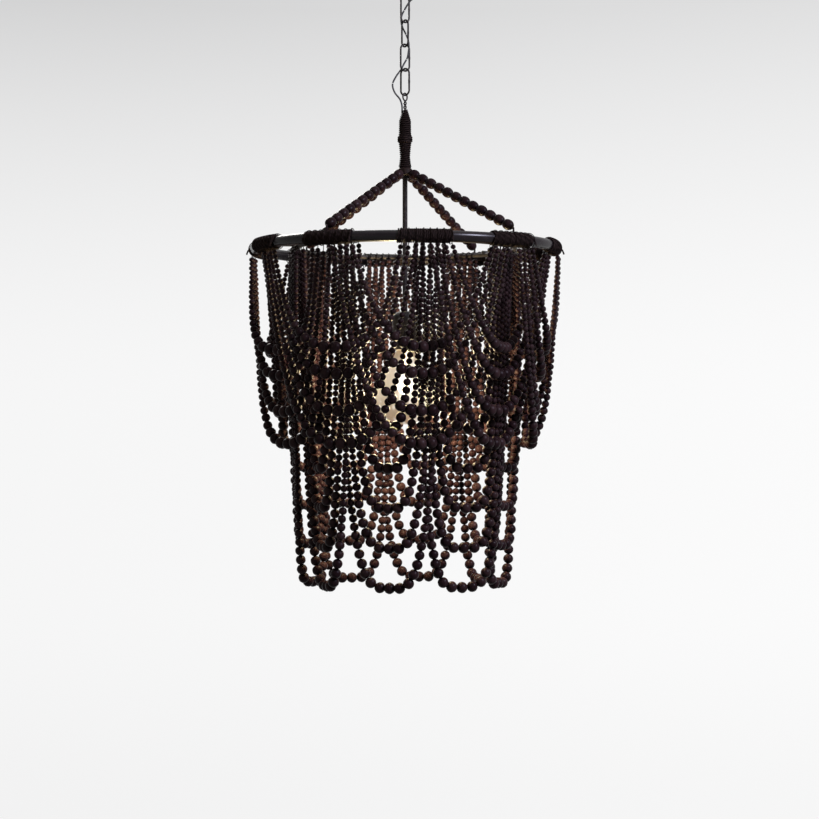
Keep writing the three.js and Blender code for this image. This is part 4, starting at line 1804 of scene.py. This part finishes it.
@dataclass
class Lampholder(Assembly):
    """The cap on the down tube, the skirt screwed to it, and the insulator inside."""

    outer: float = 0.019
    wall: float = 0.0023
    top: float = -0.5331
    cap_height: float = 0.022
    skirt_height: float = 0.036
    boss: float = 0.007
    tube_hole: float = TUBE_BORE
    clearance: float = 0.0003
    sleeve: float = 0.0026
    bevel: float = 0.0005
    foot_bevel: float = 0.0008
    groove_depth: float = 0.0006
    groove_span: Pair = (0.006, 0.018)
    groove_width: float = 0.0014
    groove_slope: float = 0.0004
    insert_top: float = 0.004
    insert_disc: float = 0.005

    def build(self) -> None:
        """Builds the lampholder."""
        inner = self.outer - self.wall
        foot = self.top - self.cap_height
        shoulder = foot + self.cap_height / 2
        curve = [
            (self.boss + (self.outer - self.boss) * math.sin(t), self.top - (self.top - shoulder) * (1 - math.cos(t)))
            for t in np.linspace(0.0, math.pi / 2, 12)
        ]
        profile = [
            (inner, foot), (self.outer - self.bevel, foot), (self.outer, foot + self.bevel),
            *reversed(curve), (self.tube_hole, self.top), (self.tube_hole, self.top - self.wall),
            (inner, shoulder - self.wall),
        ]
        self.shop.fit(Blank().turned(profile, 72), "lampholder_dome", Body.LAMP, Slot.PLASTIC, "lampholder_cap")
        self.build_skirt(foot - self.clearance, inner)
        self.build_insert(foot - self.clearance, inner - self.clearance)

    def build_skirt(self, top: float, inner: float) -> None:
        """Builds the skirt, with a milled band at its foot.

        Args:
            top: The level of its top.
            inner: Its inner radius.
        """
        bottom = top - self.skirt_height
        floor = self.outer - self.groove_depth
        profile = [(inner, bottom), (self.outer - self.foot_bevel, bottom), (self.outer, bottom + self.foot_bevel)]
        for level in np.linspace(bottom + self.groove_span[0], bottom + self.groove_span[1], 5):
            head = level + self.groove_width
            profile += [(self.outer, level), (floor, level + self.groove_slope)]
            profile += [(floor, head - self.groove_slope), (self.outer, head)]
        profile += [(self.outer, top - self.bevel), (self.outer - self.bevel, top), (inner, top)]
        self.shop.fit(Blank().turned(profile, 72), "lampholder_shell", Body.LAMP, Slot.PLASTIC, "lampholder_skirt")

    def build_insert(self, skirt_top: float, radius: float) -> None:
        """Builds the insulator that the bulb's cap stands in.

        Args:
            skirt_top: The level of the skirt's top.
            radius: Its outer radius.
        """
        top = skirt_top - self.insert_top
        disc = top - self.insert_disc
        foot = skirt_top - self.skirt_height + self.wall
        bore = radius - self.sleeve
        profile = [(0.0, disc), (bore, disc), (bore, foot), (radius, foot), (radius, top), (0.0, top)]
        self.shop.fit(Blank().turned(profile, 60), "lampholder_insulator", Body.LAMP, Slot.PLASTIC, "lampholder_insert")


@dataclass
class GlobeBulb(Assembly):
    """A frosted globe bulb: the glass, and its screw cap."""

    radius: float = 0.0475
    bottom: float = -0.7027
    neck: float = 0.015
    neck_length: float = 0.008
    flank: float = 152.0
    glass_top: float = -0.5890
    cap_radius: float = 0.0132
    cap_top: float = -0.5647
    cap_bottom: float = -0.5887
    thread_pitch: float = 0.0036
    thread_depth: float = 0.0009
    burner_radius: float = 0.0125
    burner_level: float = BURNER_LEVEL
    burner_stem: float = 0.0038
    burner_stretch: float = 1.15
    burner_flank: float = 140.0
    burner_height: float = 0.019
    burner_gap: float = 0.002
    contact_height: float = 0.0045
    contact_radii: Pair = (0.0048, 0.0040)
    contact_bevels: Pair = (0.0012, 0.0004)
    cap_bevel: float = 0.001
    seat: float = 0.0003
    thread_fade: float = 0.003

    def build(self) -> None:
        """Builds the bulb."""
        centre = self.bottom + self.radius
        turns = np.radians(np.linspace(0.0, self.flank, 40))
        ball = [(self.radius * math.sin(t), centre - self.radius * math.cos(t)) for t in turns]
        neck = [(self.neck, self.glass_top - self.neck_length), (self.cap_radius - self.seat, self.glass_top)]
        glass = Blank().turned([*ball, *neck, (0.0, self.glass_top)], 96)
        piece = self.shop.fit(glass, "globe_glass", Body.BULB, Slot.GLASS, "bulb_glass")
        piece.visible_shadow = False
        self.build_burner()
        self.build_cap()

    def build_burner(self) -> None:
        """Builds the opal burner that hangs inside the glass on its stem."""
        turns = np.radians(np.linspace(0.0, self.burner_flank, 20))
        reach, level = self.burner_radius, self.burner_level
        foot = [(reach * math.sin(t), level - self.burner_stretch * reach * math.cos(t)) for t in turns]
        top = self.glass_top - self.burner_gap
        neck = [(self.burner_stem, level + self.burner_height), (self.burner_stem, top)]
        burner = Blank().turned([*foot, *neck, (0.0, top)], 48)
        piece = self.shop.fit(burner, "opal_burner", Body.BULB, Slot.GLASS)
        piece.data.materials[0] = self.shop.finishes.burner
        piece.visible_shadow = False

    def build_cap(self) -> None:
        """Builds the cap, with its rolled thread and its centre contact."""
        rings, segments = 60, 48
        levels = np.linspace(self.cap_bottom, self.cap_top - self.contact_height, rings)
        turn = angles(segments)
        phase = levels[:, None] / self.thread_pitch - turn[None, :] / FULL_TURN
        fade = np.clip(np.minimum(levels - levels[0], levels[-1] - levels) / self.thread_fade, 0, 1)[:, None]
        reach = self.cap_radius - self.thread_depth * fade * (0.5 - 0.5 * np.cos(FULL_TURN * phase))
        points = np.stack(
            [reach * np.sin(turn), -reach * np.cos(turn), np.repeat(levels[:, None], segments, axis=1)], axis=-1
        )
        blank = Blank()
        blank.add_points(points.reshape(-1, 3))
        blank.skin(rings, segments, False, np.zeros(rings + 1))
        blank.close(rings, segments)
        contact = [
            (0.0, levels[-1]), (self.cap_radius - self.cap_bevel, levels[-1]),
            (self.contact_radii[0], self.cap_top - self.contact_bevels[0]),
            (self.contact_radii[1], self.cap_top - self.contact_bevels[1]), (0.0, self.cap_top),
        ]
        blank.turned(contact, 40)
        self.shop.fit(blank, "threaded_bulb_cap", Body.BULB, Slot.NICKEL, "bulb_cap")


# The studio


@dataclass(frozen=True)
class SoftLamp:
    """One square lamp: its place and size in metres, its power in watts, and its colour."""

    name: str
    place: Triple
    size: float
    power: float
    colour: Triple
    target: Triple = (0.0, 0.0, -0.7)

    def shine(self) -> None:
        """Adds the lamp to the scene, turned to its target."""
        lamp = bpy.data.lights.new(self.name, "AREA")
        lamp.energy = self.power
        lamp.size = self.size
        lamp.color = self.colour
        way = Vector(self.target) - Vector(self.place)
        hang(self.name, lamp, self.place).rotation_euler = way.to_track_quat("-Z", "Y").to_euler()


LAMPS = (
    SoftLamp("over", (0.3, -0.6, 1.6), 1.8, 9.0, (1.0, 0.97, 0.95), (0.0, 0.0, -0.6)),
    SoftLamp("left", (-2.4, -1.9, 0.1), 1.2, 11.0, (1.0, 0.78, 0.50)),
    SoftLamp("back", (-0.9, 2.6, 0.9), 1.2, 60.0, (1.0, 0.96, 0.92)),
    SoftLamp("right", (2.4, -1.7, 1.2), 0.8, 245.0, (0.79, 0.79, 1.0)),
)


@dataclass
class Studio:
    """The pale floor and backdrop, the lamps and the camera."""

    floor_level: float = -3.3
    backdrop_radius: float = 4.4
    backdrop_bend: float = 1.2
    backdrop_top: float = 5.0
    camera_distance: float = 3.38
    camera_level: float = -0.723
    camera_side: float = 0.00675
    camera_rise: float = 0.7246
    frame_width: float = 1.2285
    glow_level: float = -0.655
    glow_power: float = 18.0
    glow_radius: float = 0.044
    glow_colour: Triple = (1.0, 0.80, 0.45)
    lit_share: float = 0.958
    air: Colour = (0.99, 0.99, 0.99, 1)
    air_lit: float = 0.06
    air_seen: float = 0.87
    fade_foot: float = -0.62
    fade_height: float = 1.38
    fade_power: float = 1.8
    side_span: Pair = (-2.0, 2.0)
    above_span: Pair = (1.2, 4.0)
    beneath_span: Pair = (-1.25, -2.05)
    beneath_share: float = 0.12
    low_left: Colour = (0.950, 0.950, 0.950, 1)
    high_left: Colour = (0.665, 0.665, 0.667, 1)
    low_right: Colour = (0.998, 0.998, 0.998, 1)
    high_right: Colour = (0.770, 0.770, 0.772, 1)
    above: Colour = (0.93, 0.93, 0.93, 1)
    beneath: Colour = (0.66, 0.66, 0.66, 1)
    matt: Colour = (0.35, 0.35, 0.35, 1)

    def build(self) -> None:
        """Builds the studio."""
        self.place_camera()
        self.lay_floor()
        self.light()

    def place_camera(self) -> None:
        """Places the camera at the photograph's viewing angle."""
        camera = bpy.data.cameras.new("camera")
        camera.sensor_fit = "HORIZONTAL"
        camera.lens = camera.sensor_width * self.camera_distance / self.frame_width
        camera.clip_end = 60.0
        holder = hang("camera", camera, (self.camera_side, -self.camera_distance, self.camera_level))
        holder.rotation_euler = (math.radians(90 + self.camera_rise), 0.0, 0.0)
        bpy.context.scene.camera = holder

    def lay_floor(self) -> None:
        """Lays the round floor and curves it up into the backdrop, which runs all round."""
        bend = self.backdrop_bend
        flat = self.backdrop_radius - bend
        section = [(0.0, self.floor_level)]
        for turn in np.linspace(0.0, math.pi / 2, 16):
            section.append((flat + bend * math.sin(turn), self.floor_level + bend * (1 - math.cos(turn))))
        section.append((self.backdrop_radius, self.backdrop_top))
        floor = Blank().turned(section, 128).make("floor")
        floor.data.materials.append(self.floor_finish())

    def floor_finish(self) -> bpy.types.Material:
        """The finish of floor and backdrop: pale, and paler lower down and to the right, which is a painted light
        falloff, with a little painted grey shade low down.

        Returns:
            The material.
        """
        s = Shader("pale_floor")
        level = s.part(s.place(), "Z")
        # Painted light: the wall grows darker higher up and to the left, where the light falls off.
        high = ((level - self.fade_foot) * (1 / self.fade_height)).maths("MAXIMUM", 0.0) ** self.fade_power
        left = s.mix(high, self.low_left, self.high_left)
        right = s.mix(high, self.low_right, self.high_right)
        wall = s.mix(s.part(s.place(), "X").between(*self.side_span), left, right)
        wall = s.mix(level.between(*self.above_span), wall, self.above)
        # Painted shade: the wall turns a little greyer low down and on the floor.
        wall = s.mix(level.between(*self.beneath_span) * self.beneath_share, wall, self.beneath)
        seen = s.node("ShaderNodeEmission", {}, {"Color": wall, "Strength": 1.0})
        matt = s.node("ShaderNodeBsdfDiffuse", {}, {"Color": self.matt})
        return s.end(s.node("ShaderNodeMixShader", {}, {"Fac": s.seen_share() * self.lit_share, 1: matt, 2: seen}))

    def light(self) -> None:
        """Lights the object softly from above, both sides and behind, and lights the bulb."""
        sky = SkyShader("studio_air")
        strength = sky.seen_share() * self.air_seen + self.air_lit
        sky.finish(sky.node("ShaderNodeBackground", {}, {"Color": self.air, "Strength": strength}))
        for lamp in LAMPS:
            lamp.shine()
        glow = bpy.data.lights.new("bulb_glow", "POINT")
        glow.energy = self.glow_power
        glow.color = self.glow_colour
        glow.shadow_soft_size = self.glow_radius
        hang("bulb_glow", glow, (0.0, 0.0, self.glow_level)).visible_camera = False


def main() -> None:
    """Loads the frame and builds every part of the lamp round it."""
    logging.basicConfig(level=logging.INFO, format="%(message)s")
    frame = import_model()
    bpy.context.scene.view_settings.view_transform = "Standard"
    Studio().build()
    shop = Workshop(Finishes(), frame)
    SupplyFlex(shop).build()
    CeilingFittings(shop).build()
    Chain(shop).build()
    StemHook(shop).build()
    Stem(shop).build()
    Hub(shop).build()
    hoop = Hoop(shop)
    hoop.build()
    InnerRing(shop).build()
    Arms(shop).build(hoop)
    Swags(shop, UPPER).build()
    Swags(shop, LOWER).build()
    Lampholder(shop).build()
    GlobeBulb(shop).build()


if __name__ == "__main__":
    main()
